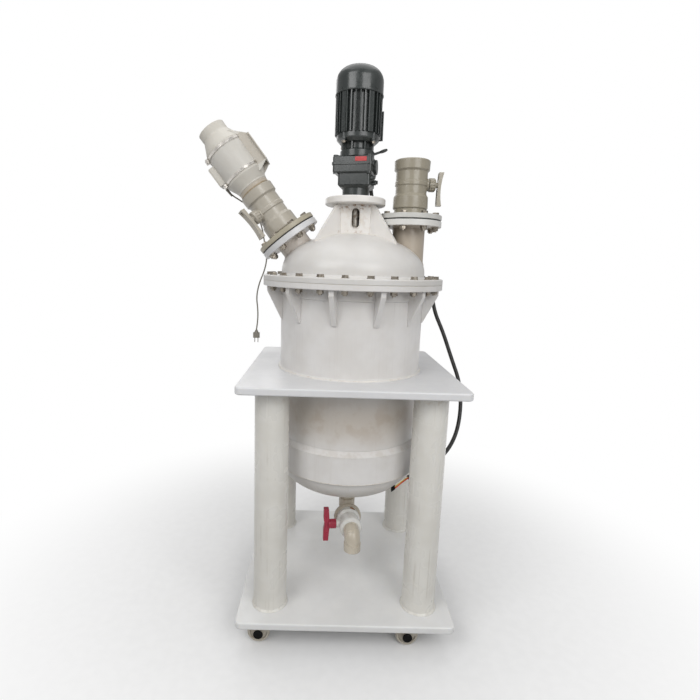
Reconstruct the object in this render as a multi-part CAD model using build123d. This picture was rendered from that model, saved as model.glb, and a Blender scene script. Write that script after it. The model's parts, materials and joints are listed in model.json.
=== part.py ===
"""Stirred polypropylene reaction kettle on a castor stand.

A welded plastic vessel hangs in a four-legged stand.  Its bolted lid carries a gear motor on a pedestal,
an upright feed valve and a leaning vent valve with an inline fan; a ball valve drains the bowl.
The vessel stands on the Z axis while it is modelled, and the whole model is shifted at the end so that
the origin lies under the middle of its overall box, on the floor.
"""

from build123d import *
from math import atan2, cos, degrees, pi, radians, sin, sqrt, tan
import os

# ---------------------------------------------------------------- driving dimensions (mm)
VESSEL_AXIS_X = 90.1          # the vessel axis from the origin of the finished model
RUNNING_GAP = 0.05            # radial clearance of every shaft in its hole

# stand
PLATE_X, PLATE_Y, PLATE_T = 710.0, 700.0, 24.0
PLATE_CORNER_R, PLATE_EDGE_R = 20.0, 5.0
BASE_TOP = 121.0
DECK_TOP = 896.0
LEG_X, LEG_Y, LEG_R, LEG_WALL = 252.7, 242.3, 55.0, 6.6
WELD = 6.0

# castors
CASTOR_X, CASTOR_Y = 249.0, 277.0
CASTOR_TRAIL = 36.0
WHEEL_R, WHEEL_W = 37.5, 26.0
AXLE_R = 5.0

# vessel
VESSEL_R, VESSEL_WALL = 250.0, 12.0
BOWL_DEPTH, BOWL_RIM = 125.0, 558.0
BAND_R, BAND_BOTTOM, BAND_TOP = 264.0, 556.0, 650.0
FLANGE_R, FLANGE_T = 313.0, 17.5
FLANGE_BOTTOM = 1183.0
GASKET_T = 2.0
LID_BOLTS, LID_BOLT_PCD, LID_BOLT_R, LID_HOLE_R = 24, 580.0, 6.0, 6.6
GUSSETS, GUSSET_T = 12, 16.0
DOME_R, DOME_H, DOME_RIM = 250.0, 130.5, 1237.5
TIE_HUB_R = 254.0

# drive pedestal and agitator
PEDESTAL_R, PEDESTAL_T, PEDESTAL_TOP = 104.0, 23.0, 1485.0
COLUMN_W, COLUMN_WALL = 100.0, 12.0
SLOT_W, SLOT_H, SLOT_Z = 27.0, 66.0, 1417.0
WING_AZIMUTH, WING_TOP_R, WING_FOOT_R, WING_T = 38.0, 86.0, 170.0, 12.0
SHAFT_R = 14.0
SHAFT_BOTTOM, SHAFT_TOP = 560.0, 1545.0
COUPLING_R, COUPLING_H = 27.0, 68.0
IMPELLER_R, IMPELLER_Z, IMPELLER_BLADES = 120.0, 596.0, 4

# nozzle, flanges and valve of the feed and the vent
PIPE_R, PIPE_WALL = 55.0, 6.6
NOZZLE_FLANGE_R, UPPER_T, LOWER_T, NOZZLE_GASKET_T = 110.0, 16.0, 20.0, 4.0
NOZZLE_BOLTS, NOZZLE_PCD, NOZZLE_BOLT_R = 8, 180.0, 6.0
FEED_X, FEED_Z, FEED_STUB = 191.0, 1417.0, 43.0
VENT_X, VENT_Z, VENT_TILT, VENT_STUB = -230.0, 1355.0, 38.0, 29.0
VALVE_L, VALVE_R, VALVE_SOCKET_R, SOCKET_DEPTH = 157.0, 53.0, 60.0, 31.0
BALL_R, BALL_BORE_R, STEM_R, STEM_AT = 47.5, 36.0, 8.0, 80.0
BOSS_END, HUB_FROM, HUB_TO, HUB_R = 58.0, 60.5, 82.0, 23.0
HANDLE_UP, HANDLE_DOWN, HANDLE_W = 42.0, 70.0, 22.0
VENT_HANDLE_TURN = 220.0

# inline fan, measured along the vent axis from its gasket
FAN_R, FAN_WALL = 72.0, 2.5
FAN_RING_AT = 208.0
FAN_LOW_AT, FAN_HIGH_AT, FAN_OUTLET_AT = 253.0, 352.0, 433.0
FAN_OUTLET_R = 49.0
FAN_BLADES, STATOR_VANES = 7, 5
FAN_HUB_R, FAN_BLADE_R, FAN_SHAFT_R = 28.0, 66.0, 4.0

# drain, measured forward from the neck's axis
DRAIN_X, DRAIN_Z, DRAIN_TURN = 12.0, 315.0, 6.0
DRAIN_PIPE_R, DRAIN_WALL, DRAIN_BEND_R = 25.0, 3.0, 30.0
DRAIN_RING_AT, DRAIN_VALVE_AT, DRAIN_VALVE_END = 24.0, 36.0, 118.0
DRAIN_RING_R, DRAIN_NUT_R, DRAIN_BARREL_R, DRAIN_BOSS_END = 50.0, 43.0, 36.0, 50.0
DRAIN_BALL_R, DRAIN_BORE_R, DRAIN_STEM_R = 27.0, 19.0, 6.0
TEE_HALF, TEE_FROM, TEE_TO = 62.0, 51.0, 97.0
OUTLET_R, OUTLET_AT, OUTLET_END_Z = 30.0, 150.0, 257.0

# gear motor
GEARBOX_TURN = -15.0
MOTOR_R, MOTOR_CORE_R, MOTOR_FINS = 78.5, 66.0, 32
MOTOR_BOTTOM, MOTOR_TOP = 1690.0, 1821.0
TERMINAL_AZIMUTH, TERMINAL_BOTTOM, GLAND_DROP = 60.0, 1699.0, 19.0
COWL_R, COWL_WALL, COWL_BOTTOM, COWL_TOP = 79.5, 2.0, 1814.5, 1904.0
COWL_CROWN_R, COWL_SHOULDER = 32.0, 46.0
ROTOR_R = 12.0

# cords
FAN_CORD_R, MOTOR_CABLE_R = 2.5, 7.25
FAN_CORD_ROUTE = [
    (-448.8, 20, 1506.4), (-434.7, 22, 1489.5), (-407, 42, 1474.4), (-377.3, 56, 1455.8), (-351.9, 61, 1429.8),
    (-335.7, 63, 1399.3), (-329, 71, 1367), (-321, 73, 1320), (-313, 72, 1275), (-322, 70, 1230), (-341, 68, 1184),
    (-351, 66, 1134), (-345, 67, 1085), (-345, 66, 1043), (-350, 66, 1009),
]
MOTOR_CABLE_ROUTE = [
    (46.5, 80.5, 1680), (54, 103, 1564), (84, 140, 1446), (138, 172, 1344), (224, 184, 1268), (318, 164, 1204),
    (331, 138, 1096), (368, 118, 1015), (403, 99, 915), (434, 78, 832), (440, 50, 749), (424, 14, 658),
    (382, -37, 600), (320, -95, 572), (257, -149, 557), (204, -191, 556),
]

CENTRE_MIN = (Align.CENTER, Align.CENTER, Align.MIN)
VENT_FRAME = Plane(
    origin=(VENT_X, 0, VENT_Z),
    x_dir=(cos(radians(VENT_TILT)), 0, sin(radians(VENT_TILT))),
    z_dir=(-sin(radians(VENT_TILT)), 0, cos(radians(VENT_TILT))),
).location
FEED_FRAME = Pos(FEED_X, 0, FEED_Z)
DRAIN_FRAME = Pos(DRAIN_X, 0, DRAIN_Z) * Rot(0, 0, DRAIN_TURN)
DRAIN_FLOW = DRAIN_FRAME * Rot(90, 0, 0)
GEARBOX_FRAME = Rot(0, 0, GEARBOX_TURN)
GASKET_TOP = NOZZLE_GASKET_T / 2
LID_FLANGE_BOTTOM = FLANGE_BOTTOM + FLANGE_T + GASKET_T
LID_FLANGE_TOP = LID_FLANGE_BOTTOM + FLANGE_T


# ---------------------------------------------------------------- shared forms
def cyl(radius, low, high, x=0.0, y=0.0):
    """An upright cylinder from one height to another."""
    return Pos(x, y, low) * Cylinder(radius, high - low, align=CENTRE_MIN)


def tube(outer, inner, low, high, x=0.0, y=0.0):
    """An upright tube from one height to another."""
    return cyl(outer, low, high, x, y) - cyl(inner, low, high, x, y)


def lathe(*outline):
    """A solid of revolution about Z from a closed (radius, height) outline."""
    return revolve(Plane.XZ * make_face(Polyline(*outline, close=True)), Axis.Z)


def block(size_x, size_y, low, high, corner=0.0, x=0.0, y=0.0):
    """An upright block with rounded vertical edges."""
    outline = RectangleRounded(size_x, size_y, corner) if corner else Rectangle(size_x, size_y)
    return Pos(x, y, low) * extrude(outline, high - low)


def polar(shape, count, start=0.0):
    """Copies of a shape about Z, as a list."""
    return [Rot(0, 0, start + 360.0 * i / count) * shape for i in range(count)]


def elliptical_solid(radius, height):
    """The upper half of an ellipsoid of revolution, standing on Z = 0."""
    arc = EllipticalCenterArc((0, 0), radius, height, start_angle=0, arc_size=90)
    quarter = make_face([arc, Line((0, height), (0, 0)), Line((0, 0), (radius, 0))])
    return revolve(Plane.XZ * quarter, Axis.Z)


def bolt(shank_r, head_low, grip, nut=True):
    """A hexagon bolt, head up: washer and head above head_low, shank down through the grip, nut below."""
    across = shank_r * 1.85
    head = cyl(shank_r * 2.0, head_low, head_low + 2)
    head += Pos(0, 0, head_low + 2) * extrude(RegularPolygon(across, 6), shank_r * 1.2)
    body = head + cyl(shank_r, head_low - grip - shank_r * 2.6, head_low)
    if nut:
        low = head_low - grip
        body += cyl(shank_r * 2.0, low - 2, low)
        body += Pos(0, 0, low - 2 - shank_r * 1.6) * extrude(RegularPolygon(across, 6), shank_r * 1.6)
    return body


def cord_tube(route, radius, name):
    """A round cord of straight runs joined by arcs as large as the runs allow."""
    points = [Vector(*p) for p in route]
    radii = []
    for before, here, after in zip(points, points[1:], points[2:]):
        turn = radians((here - before).get_angle(after - here))
        shorter = min((here - before).length, (after - here).length)
        radii.append(0.45 * shorter / tan(turn / 2))
    path = FilletPolyline(*points, radius=radii)
    section = Plane(origin=path @ 0, z_dir=path % 0) * Circle(radius)
    solid = sweep(section, path)
    print(name, "radii", [round(r) for r in radii], "length", round(path.length),
          "volume ratio", round(solid.volume / (pi * radius ** 2 * path.length), 4))
    return solid


# ---------------------------------------------------------------- stand
def plate(low, high):
    """One rounded deck plate."""
    body = block(PLATE_X, PLATE_Y, low, high, PLATE_CORNER_R)
    rims = body.edges().filter_by(lambda e: abs(e.center().Z - low) < 0.01 or abs(e.center().Z - high) < 0.01)
    return fillet(rims, PLATE_EDGE_R)


def base_plate():
    return plate(BASE_TOP - PLATE_T, BASE_TOP)


def deck_plate():
    """The upper plate, with the hole that the vessel hangs in."""
    return plate(DECK_TOP - PLATE_T, DECK_TOP) - cyl(VESSEL_R, DECK_TOP - PLATE_T, DECK_TOP)


def leg(x, y):
    """A pipe leg with a weld bead at its foot and its head."""
    low, high = BASE_TOP, DECK_TOP - PLATE_T
    inner = LEG_R - LEG_WALL
    outline = [
        (inner, low), (LEG_R + WELD, low), (LEG_R, low + WELD),
        (LEG_R, high - WELD), (LEG_R + WELD, high), (inner, high),
    ]
    return Pos(x, y, 0) * lathe(*outline)


def castor_plates():
    """The four mounting plates with their swivel races, screwed under the base plate."""
    low = BASE_TOP - PLATE_T
    plate_solid = block(70, 60, low - 4, low, 6)
    holes = [cyl(3.5, low - 4, low, x, y) for x in (-27, 27) for y in (-22, 22)]
    one = plate_solid - holes + cyl(22, low - 10, low - 4)
    one -= cyl(8 + RUNNING_GAP, low - 10, low - 1)
    return [Pos(x, y, 0) * one for x, y in castor_places()]


def castor_places():
    """The four swivel axes, front left, front right, back left, back right."""
    return [(x, y) for y in (-CASTOR_Y, CASTOR_Y) for x in (-CASTOR_X, CASTOR_X)]


def castor_fork():
    """A pressed fork, with its king pin and the wheel axle, about its own swivel axis."""
    top = BASE_TOP - PLATE_T - 11
    side = WHEEL_W / 2 + 2
    cheek = Plane.XZ * make_face([
        Line((24, top), (24, top - 8)),
        Line((24, top - 8), (12 - CASTOR_TRAIL, WHEEL_R - 12)),
        RadiusArc((12 - CASTOR_TRAIL, WHEEL_R - 12), (-12 - CASTOR_TRAIL, WHEEL_R - 6), 15),
        Line((-12 - CASTOR_TRAIL, WHEEL_R - 6), (-30 - CASTOR_TRAIL / 6, top - 8)),
        Line((-30 - CASTOR_TRAIL / 6, top - 8), (-30 - CASTOR_TRAIL / 6, top)),
        Line((-30 - CASTOR_TRAIL / 6, top), (24, top)),
    ])
    fork = [Pos(0, y + 1.5, 0) * extrude(cheek, 3) for y in (-side - 1.5, side + 1.5)]
    width = 2 * side + 6
    crown = Pos(-6, 0, top - 3) * extrude(RectangleRounded(60, width, 5), 3)
    pin = cyl(8, top - 3, BASE_TOP - PLATE_T - 2)
    collar = cyl(20, top, top + 0.7)
    axle = Pos(-CASTOR_TRAIL, 0, WHEEL_R) * Rot(90, 0, 0) * Cylinder(AXLE_R, width + 2)
    caps = [Pos(-CASTOR_TRAIL, y, WHEEL_R) * Rot(90, 0, 0) * Cylinder(14, 5)
            for y in (-width / 2 - 2.5, width / 2 + 2.5)]
    body = fork[0] + fork[1] + crown + pin + collar + axle
    for cap in caps:
        body += cap
    return body


def castor_wheel():
    """A solid wheel with a rounded tread and a recessed web, bored for the axle."""
    half = WHEEL_W / 2
    bore = AXLE_R + RUNNING_GAP
    wheel = lathe((bore, -half), (14, -half), (16, -half + 5), (27, -half + 5), (29, -half), (WHEEL_R - 4, -half),
                  (WHEEL_R, -half + 5), (WHEEL_R, half - 5), (WHEEL_R - 4, half), (29, half), (27, half - 5),
                  (16, half - 5), (14, half), (bore, half))
    return Pos(-CASTOR_TRAIL, 0, WHEEL_R) * Rot(90, 0, 0) * wheel


# ---------------------------------------------------------------- vessel
def vessel_shell():
    """The pipe shell, with the weld bead that holds it in the deck plate."""
    shell = tube(VESSEL_R, VESSEL_R - VESSEL_WALL, BOWL_RIM, FLANGE_BOTTOM + FLANGE_T)
    upper_bead = lathe((VESSEL_R - 1, DECK_TOP), (VESSEL_R + 9, DECK_TOP), (VESSEL_R, DECK_TOP + 9),
                       (VESSEL_R - 1, DECK_TOP + 9))
    under = DECK_TOP - PLATE_T
    lower_bead = lathe((VESSEL_R - 1, under), (VESSEL_R + 9, under), (VESSEL_R, under - 9),
                       (VESSEL_R - 1, under - 9))
    return shell + upper_bead + lower_bead


def vessel_flange():
    """The flat flange on its hub, with the bolt circle and the gussets welded below it."""
    top = FLANGE_BOTTOM + FLANGE_T
    hub_low = FLANGE_BOTTOM - 36
    flange = lathe((VESSEL_R, hub_low), (TIE_HUB_R, hub_low + 3), (TIE_HUB_R, FLANGE_BOTTOM),
                   (FLANGE_R - 2, FLANGE_BOTTOM), (FLANGE_R, FLANGE_BOTTOM + 2), (FLANGE_R, top), (VESSEL_R, top))
    web = Plane.XZ * make_face(Polyline(
        (VESSEL_R + 0.2, FLANGE_BOTTOM), (302, FLANGE_BOTTOM), (302, FLANGE_BOTTOM - 18),
        (VESSEL_R + 4, FLANGE_BOTTOM - 113), (VESSEL_R + 0.2, FLANGE_BOTTOM - 113), close=True))
    gusset = Pos(0, GUSSET_T / 2, 0) * extrude(web, GUSSET_T)
    for piece in polar(gusset, GUSSETS, -90 + 180.0 / GUSSETS):
        flange += piece
    return flange - lid_bolt_holes(FLANGE_BOTTOM - 1, top + 1)


def lid_bolt_holes(low, high):
    """The bolt circle as cutters, straddling the front of the kettle."""
    hole = cyl(LID_HOLE_R, low, high, LID_BOLT_PCD / 2)
    return polar(hole, LID_BOLTS, -90 + 180.0 / LID_BOLTS)


def bottom_head():
    """The dished bottom with the reinforcing band round its joint and the drain hole."""
    outer = Pos(0, 0, BOWL_RIM) * Rot(180, 0, 0) * elliptical_solid(VESSEL_R, BOWL_DEPTH)
    inner = Pos(0, 0, BOWL_RIM) * Rot(180, 0, 0) * elliptical_solid(VESSEL_R - VESSEL_WALL, BOWL_DEPTH - VESSEL_WALL)
    band = lathe((VESSEL_R, BAND_BOTTOM), (BAND_R - 3, BAND_BOTTOM), (BAND_R, BAND_BOTTOM + 3), (BAND_R, BAND_TOP),
                 (VESSEL_R, BAND_TOP + 16))
    lip = tube(VESSEL_R + 1, VESSEL_R - VESSEL_WALL, BAND_BOTTOM, BOWL_RIM)
    return outer - inner + band + lip - cyl(DRAIN_PIPE_R, DRAIN_Z, BOWL_RIM, DRAIN_X)


def main_gasket():
    """The full-face sheet ring between the vessel and lid flanges, punched for the bolts."""
    low = FLANGE_BOTTOM + FLANGE_T
    sheet = tube(FLANGE_R - 1, VESSEL_R - VESSEL_WALL, low, LID_FLANGE_BOTTOM)
    return sheet - lid_bolt_holes(low - 1, LID_FLANGE_BOTTOM + 1)


def lid():
    """The domed lid on its flange, open under the pedestal and both nozzles."""
    outer = Pos(0, 0, DOME_RIM) * elliptical_solid(DOME_R, DOME_H)
    skirt = cyl(DOME_R, LID_FLANGE_BOTTOM, DOME_RIM)
    flange = lathe((0, LID_FLANGE_BOTTOM), (FLANGE_R, LID_FLANGE_BOTTOM), (FLANGE_R, LID_FLANGE_TOP - 3),
                   (FLANGE_R - 3, LID_FLANGE_TOP), (DOME_R + 7, LID_FLANGE_TOP), (DOME_R - 1, LID_FLANGE_TOP + 8),
                   (0, LID_FLANGE_TOP + 8))
    body = outer + skirt + flange - dome_hollow() - lid_bolt_holes(LID_FLANGE_BOTTOM - 1, LID_FLANGE_TOP + 1)
    body -= cyl(SHAFT_R + 6, DOME_RIM, DOME_RIM + DOME_H)
    body -= cyl(PIPE_R, DOME_RIM, FEED_Z, FEED_X)
    body -= VENT_FRAME * cyl(PIPE_R, -100, 0)
    return body


def dome_hollow():
    """The space inside the lid."""
    cap = Pos(0, 0, DOME_RIM) * elliptical_solid(DOME_R - VESSEL_WALL, DOME_H - VESSEL_WALL)
    return cap + cyl(DOME_R - VESSEL_WALL, LID_FLANGE_BOTTOM, DOME_RIM)


def lid_bolts():
    """The flange bolts with their washers and nuts."""
    one = Pos(LID_BOLT_PCD / 2, 0, 0) * bolt(LID_BOLT_R, LID_FLANGE_TOP, LID_FLANGE_TOP - FLANGE_BOTTOM)
    return polar(one, LID_BOLTS, -90 + 180.0 / LID_BOLTS)


# ---------------------------------------------------------------- pedestal and agitator
def dome_height(radius):
    """The outside height of the dome at a radius."""
    return DOME_RIM + DOME_H * sqrt(1 - (radius / DOME_R) ** 2)


def pedestal():
    """The box column with its sight slots, four flared wings and the round motor flange."""
    flange_low = PEDESTAL_TOP - PEDESTAL_T
    dome = Pos(0, 0, DOME_RIM) * elliptical_solid(DOME_R, DOME_H)
    foot = dome_height(WING_FOOT_R) - 2
    column = block(COLUMN_W, COLUMN_W, foot, flange_low, 3)
    wing = Plane.XZ * make_face(Polyline(
        (40, foot), (WING_FOOT_R, foot), (WING_FOOT_R, foot + 6), (WING_TOP_R, flange_low - 6),
        (WING_TOP_R - 8, flange_low), (40, flange_low), close=True))
    wing_solid = Pos(0, WING_T / 2, 0) * extrude(wing, WING_T)
    body = column
    for azimuth in (WING_AZIMUTH, 180 - WING_AZIMUTH, 180 + WING_AZIMUTH, -WING_AZIMUTH):
        body += Rot(0, 0, azimuth) * wing_solid
    body -= dome
    hollow = COLUMN_W - 2 * COLUMN_WALL
    body -= block(hollow, hollow, foot - 1, flange_low, 2)
    slot = Plane.XZ * Pos(0, SLOT_Z) * SlotCenterToCenter(SLOT_H - SLOT_W, SLOT_W, rotation=90)
    body -= extrude(slot, COLUMN_W, both=True)
    flange = lathe((0, flange_low), (PEDESTAL_R - 3, flange_low), (PEDESTAL_R, flange_low + 3),
                   (PEDESTAL_R, PEDESTAL_TOP - 3), (PEDESTAL_R - 3, PEDESTAL_TOP), (0, PEDESTAL_TOP))
    return body + flange - cyl(COUPLING_R + 3, flange_low, PEDESTAL_TOP)


def shaft_seal():
    """The packing gland where the shaft enters the lid."""
    top = DOME_RIM + DOME_H
    ring = lathe((SHAFT_R + RUNNING_GAP, top - VESSEL_WALL), (SHAFT_R + 6, top - VESSEL_WALL), (SHAFT_R + 6, top),
                 (33, top), (33, top + 6), (22, top + 8), (22, top + 12), (SHAFT_R + RUNNING_GAP, top + 12))
    return ring


def agitator():
    """The plastic-sheathed stirrer shaft with its pitched four-blade impeller."""
    shaft = cyl(SHAFT_R, SHAFT_BOTTOM, SLOT_Z - COUPLING_H / 2 + 30)
    hub = cyl(30, IMPELLER_Z - 22, IMPELLER_Z + 22)
    blade = Pos((IMPELLER_R + 24) / 2, 0, IMPELLER_Z) * Rot(45, 0, 0) * Box(IMPELLER_R - 24, 8, 52)
    body = shaft + hub
    for piece in polar(blade, IMPELLER_BLADES, 45):
        body += piece
    return body


def shaft_coupling():
    """The clamp coupling on the shaft's head, with the gearbox stub above it."""
    low, high = SLOT_Z - COUPLING_H / 2, SLOT_Z + COUPLING_H / 2
    body = lathe((0, low), (COUPLING_R - 2, low), (COUPLING_R, low + 2), (COUPLING_R, SLOT_Z - 3),
                 (COUPLING_R - 4, SLOT_Z - 3), (COUPLING_R - 4, SLOT_Z + 3), (COUPLING_R, SLOT_Z + 3),
                 (COUPLING_R, high - 2), (COUPLING_R - 2, high), (0, high))
    body -= cyl(SHAFT_R, low, low + 30)
    return body + cyl(SHAFT_R, high, SHAFT_TOP)


# ---------------------------------------------------------------- feed and vent nozzles
def nozzle(frame, reach):
    """The pipe stub welded into the lid, with the lower flange; local Z runs out along the pipe."""
    flange_low = -GASKET_TOP - LOWER_T
    flange = lathe((PIPE_R - PIPE_WALL, flange_low), (NOZZLE_FLANGE_R - 1.5, flange_low),
                   (NOZZLE_FLANGE_R, flange_low + 1.5), (NOZZLE_FLANGE_R, -GASKET_TOP - 1.5),
                   (NOZZLE_FLANGE_R - 1.5, -GASKET_TOP), (PIPE_R - PIPE_WALL, -GASKET_TOP))
    bead = lathe((PIPE_R - 1, flange_low), (PIPE_R + 4, flange_low), (PIPE_R, flange_low - 4),
                 (PIPE_R - 1, flange_low - 4))
    body = flange + bead + tube(PIPE_R, PIPE_R - PIPE_WALL, -reach, flange_low)
    for hole in polar(cyl(NOZZLE_BOLT_R + 0.5, flange_low - 1, 1, NOZZLE_PCD / 2), NOZZLE_BOLTS, 22.5):
        body -= hole
    placed = frame * body - dome_hollow()
    return placed.solids().sort_by(SortBy.VOLUME)[-1]


def nozzle_gasket(frame):
    return frame * tube(74, PIPE_R - PIPE_WALL, -GASKET_TOP, GASKET_TOP) + frame * rim_ring()


def rim_ring():
    """The outer part of the rubber sheet, punched for the bolts."""
    sheet = tube(NOZZLE_FLANGE_R - 3, 74, -GASKET_TOP, GASKET_TOP)
    for hole in polar(cyl(NOZZLE_BOLT_R + 0.5, -3, 3, NOZZLE_PCD / 2), NOZZLE_BOLTS, 22.5):
        sheet -= hole
    return sheet


def upper_flange(frame):
    """The loose flange that the valve's stub is cemented into."""
    top = GASKET_TOP + UPPER_T
    body = lathe((PIPE_R, GASKET_TOP), (NOZZLE_FLANGE_R - 1.5, GASKET_TOP), (NOZZLE_FLANGE_R, GASKET_TOP + 1.5),
                 (NOZZLE_FLANGE_R, top - 1.5), (NOZZLE_FLANGE_R - 1.5, top), (PIPE_R, top))
    for hole in polar(cyl(NOZZLE_BOLT_R + 0.5, 0, top + 1, NOZZLE_PCD / 2), NOZZLE_BOLTS, 22.5):
        body -= hole
    return frame * body


def nozzle_bolts(frame):
    top = GASKET_TOP + UPPER_T
    one = Pos(NOZZLE_PCD / 2, 0, 0) * bolt(NOZZLE_BOLT_R, top, UPPER_T + NOZZLE_GASKET_T + LOWER_T)
    return [frame * piece for piece in polar(one, NOZZLE_BOLTS, 22.5)]


def valve_body(frame, stub):
    """The ball valve: stub, lower socket, two body halves joined at a ring, upper socket, stem boss."""
    low, high = stub, stub + VALVE_L
    centre = low + STEM_AT
    outside = lathe(
        (0, GASKET_TOP), (PIPE_R, GASKET_TOP), (PIPE_R, low - 3), (VALVE_SOCKET_R - 1, low - 3),
        (VALVE_SOCKET_R, low), (VALVE_SOCKET_R - 1, low + 36), (VALVE_R, low + 46),
        (VALVE_R, centre - 9), (VALVE_R + 3, centre - 6), (VALVE_R + 3, centre + 4), (VALVE_R + 1, centre + 7),
        (VALVE_R + 1, high - 38), (VALVE_SOCKET_R, high - 32), (VALVE_SOCKET_R + 1, high - 3),
        (VALVE_SOCKET_R - 2, high), (0, high))
    boss = Pos(0, 0, centre) * Rot(0, 90, 0) * cyl(21, 40, BOSS_END)
    body = outside + boss
    body -= cyl(PIPE_R - PIPE_WALL, GASKET_TOP - 1, low + 20)
    body -= cyl(BALL_BORE_R, low, high)
    body -= cyl(PIPE_R + 0.1, high - SOCKET_DEPTH, high)
    body -= Pos(0, 0, centre) * Sphere(BALL_R + 0.4)
    body -= Pos(0, 0, centre) * Rot(0, 90, 0) * cyl(STEM_R + RUNNING_GAP, 30, BOSS_END + 1)
    return frame * body


def valve_ball(frame, stub):
    """The bored ball with its stem, open along the pipe."""
    ball = Sphere(BALL_R) - Cylinder(BALL_BORE_R, 2 * BALL_R)
    stem = Rot(0, 90, 0) * cyl(STEM_R, BALL_R - 4, HUB_FROM + 6)
    return frame * Pos(0, 0, stub + STEM_AT) * (ball + stem)


def valve_handle(frame, stub):
    """The fluted hub and the bowed, hollow-backed bar, lying along the pipe when the valve is open."""
    hub = lathe((0, HUB_FROM), (HUB_R, HUB_FROM), (HUB_R, HUB_TO - 4), (HUB_R - 4, HUB_TO), (9, HUB_TO + 1),
                (9, HUB_TO + 13), (0, HUB_TO + 13))
    for flute in polar(cyl(2.6, HUB_FROM - 1, HUB_TO - 5, HUB_R + 0.6), 14):
        hub -= flute
    hub -= cyl(STEM_R, HUB_FROM - 1, HUB_FROM + 6)
    hub = Rot(0, 90, 0) * hub
    inner, outer = HUB_TO + 8, HUB_TO + 19
    bow = Plane.XZ * make_face([
        Spline((inner + 3, HANDLE_UP), (inner, 0), (inner - 1, -HANDLE_DOWN)),
        Line((inner - 1, -HANDLE_DOWN), (outer + 4, -HANDLE_DOWN)),
        Spline((outer + 4, -HANDLE_DOWN), (outer, 0), (outer + 8, HANDLE_UP)),
        Line((outer + 8, HANDLE_UP), (inner + 3, HANDLE_UP)),
    ])
    bar = Pos(0, HANDLE_W / 2, 0) * extrude(bow, HANDLE_W)
    for low, high in ((-HANDLE_DOWN + 4, -14), (14, HANDLE_UP - 4)):
        middle, length = (low + high) / 2, high - low
        bar -= Pos(inner - 2, 0, middle) * Box(12, HANDLE_W - 7, length)
        bar -= Pos(outer + 6, 0, middle) * Box(10, HANDLE_W - 10, length - 4)
    return frame * Pos(0, 0, stub + STEM_AT) * (hub + bar)


# ---------------------------------------------------------------- inline fan
def vent_lathe(*outline):
    return VENT_FRAME * lathe(*outline)


def fan_inlet():
    """The spigot in the valve's socket, its ring, the flared cone and the collar under the body."""
    low = VENT_STUB + VALVE_L - SOCKET_DEPTH
    collar = FAN_LOW_AT - 12
    return vent_lathe(
        (PIPE_R - 3, low), (PIPE_R, low), (PIPE_R, FAN_RING_AT - 5), (PIPE_R + 1.5, FAN_RING_AT - 4),
        (PIPE_R + 1.5, FAN_RING_AT), (FAN_R, collar), (FAN_R, FAN_LOW_AT), (FAN_R - FAN_WALL, FAN_LOW_AT),
        (FAN_R - FAN_WALL, collar), (PIPE_R - 3, FAN_RING_AT))


def fan_outlet():
    """The outlet cone with its plain duct spigot."""
    neck = FAN_OUTLET_AT - 30
    return vent_lathe(
        (FAN_R - FAN_WALL, FAN_HIGH_AT), (FAN_R, FAN_HIGH_AT), (FAN_R, FAN_HIGH_AT + 10), (FAN_OUTLET_R + 1, neck),
        (FAN_OUTLET_R, neck + 4), (FAN_OUTLET_R, FAN_OUTLET_AT), (FAN_OUTLET_R - FAN_WALL, FAN_OUTLET_AT),
        (FAN_OUTLET_R - FAN_WALL, neck), (FAN_R - FAN_WALL, FAN_HIGH_AT + 9))


def fan_body():
    """The drum between the clamps, with guide vanes that carry the motor pod."""
    drum = tube(FAN_R, FAN_R - FAN_WALL, FAN_LOW_AT, FAN_HIGH_AT)
    pod_low, pod_high = FAN_LOW_AT + 46, FAN_HIGH_AT - 4
    pod = lathe((FAN_SHAFT_R + RUNNING_GAP, pod_low), (FAN_HUB_R, pod_low), (FAN_HUB_R, pod_high - 12),
                (FAN_HUB_R - 8, pod_high), (FAN_SHAFT_R + RUNNING_GAP, pod_high))
    span = FAN_R - FAN_WALL - FAN_HUB_R + 3
    vane = Pos(FAN_HUB_R - 1.5 + span / 2, 0, (pod_low + pod_high) / 2) * Rot(12, 0, 0) * Box(span, 2.5, 34)
    body = drum + pod
    for piece in polar(vane, STATOR_VANES):
        body += piece
    return VENT_FRAME * body


def fan_impeller():
    """The mixed-flow wheel ahead of the pod, on its shaft."""
    low, high = FAN_LOW_AT + 6, FAN_LOW_AT + 42
    hub = lathe((0, low), (14, low), (FAN_HUB_R - 2, low + 10), (FAN_HUB_R - 2, high), (0, high))
    blade = Pos((FAN_BLADE_R + 22) / 2, 0, (low + high) / 2 + 3) * Rot(48, 0, 0) * Box(FAN_BLADE_R - 22, 2, 30)
    body = hub + cyl(FAN_SHAFT_R, high, high + 44)
    for piece in polar(blade, FAN_BLADES, 15):
        body += piece
    return VENT_FRAME * body


def clamp_band(at):
    """One worm-drive band over a joint, with its screw housing."""
    band = tube(FAN_R + 2.5, FAN_R, at - 4, at + 4)
    housing = Pos(FAN_R + 6, 0, at) * Box(9, 22, 13)
    screw = Pos(FAN_R + 6, 0, at) * Rot(90, 0, 0) * Cylinder(3.6, 34)
    return band + Rot(0, 0, 196) * (housing + screw - Pos(0, 0, at) * Cylinder(FAN_R + 0.5, 16))


def fan_clamps():
    return [VENT_FRAME * clamp_band(at) for at in (FAN_LOW_AT, FAN_HIGH_AT)]


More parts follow.
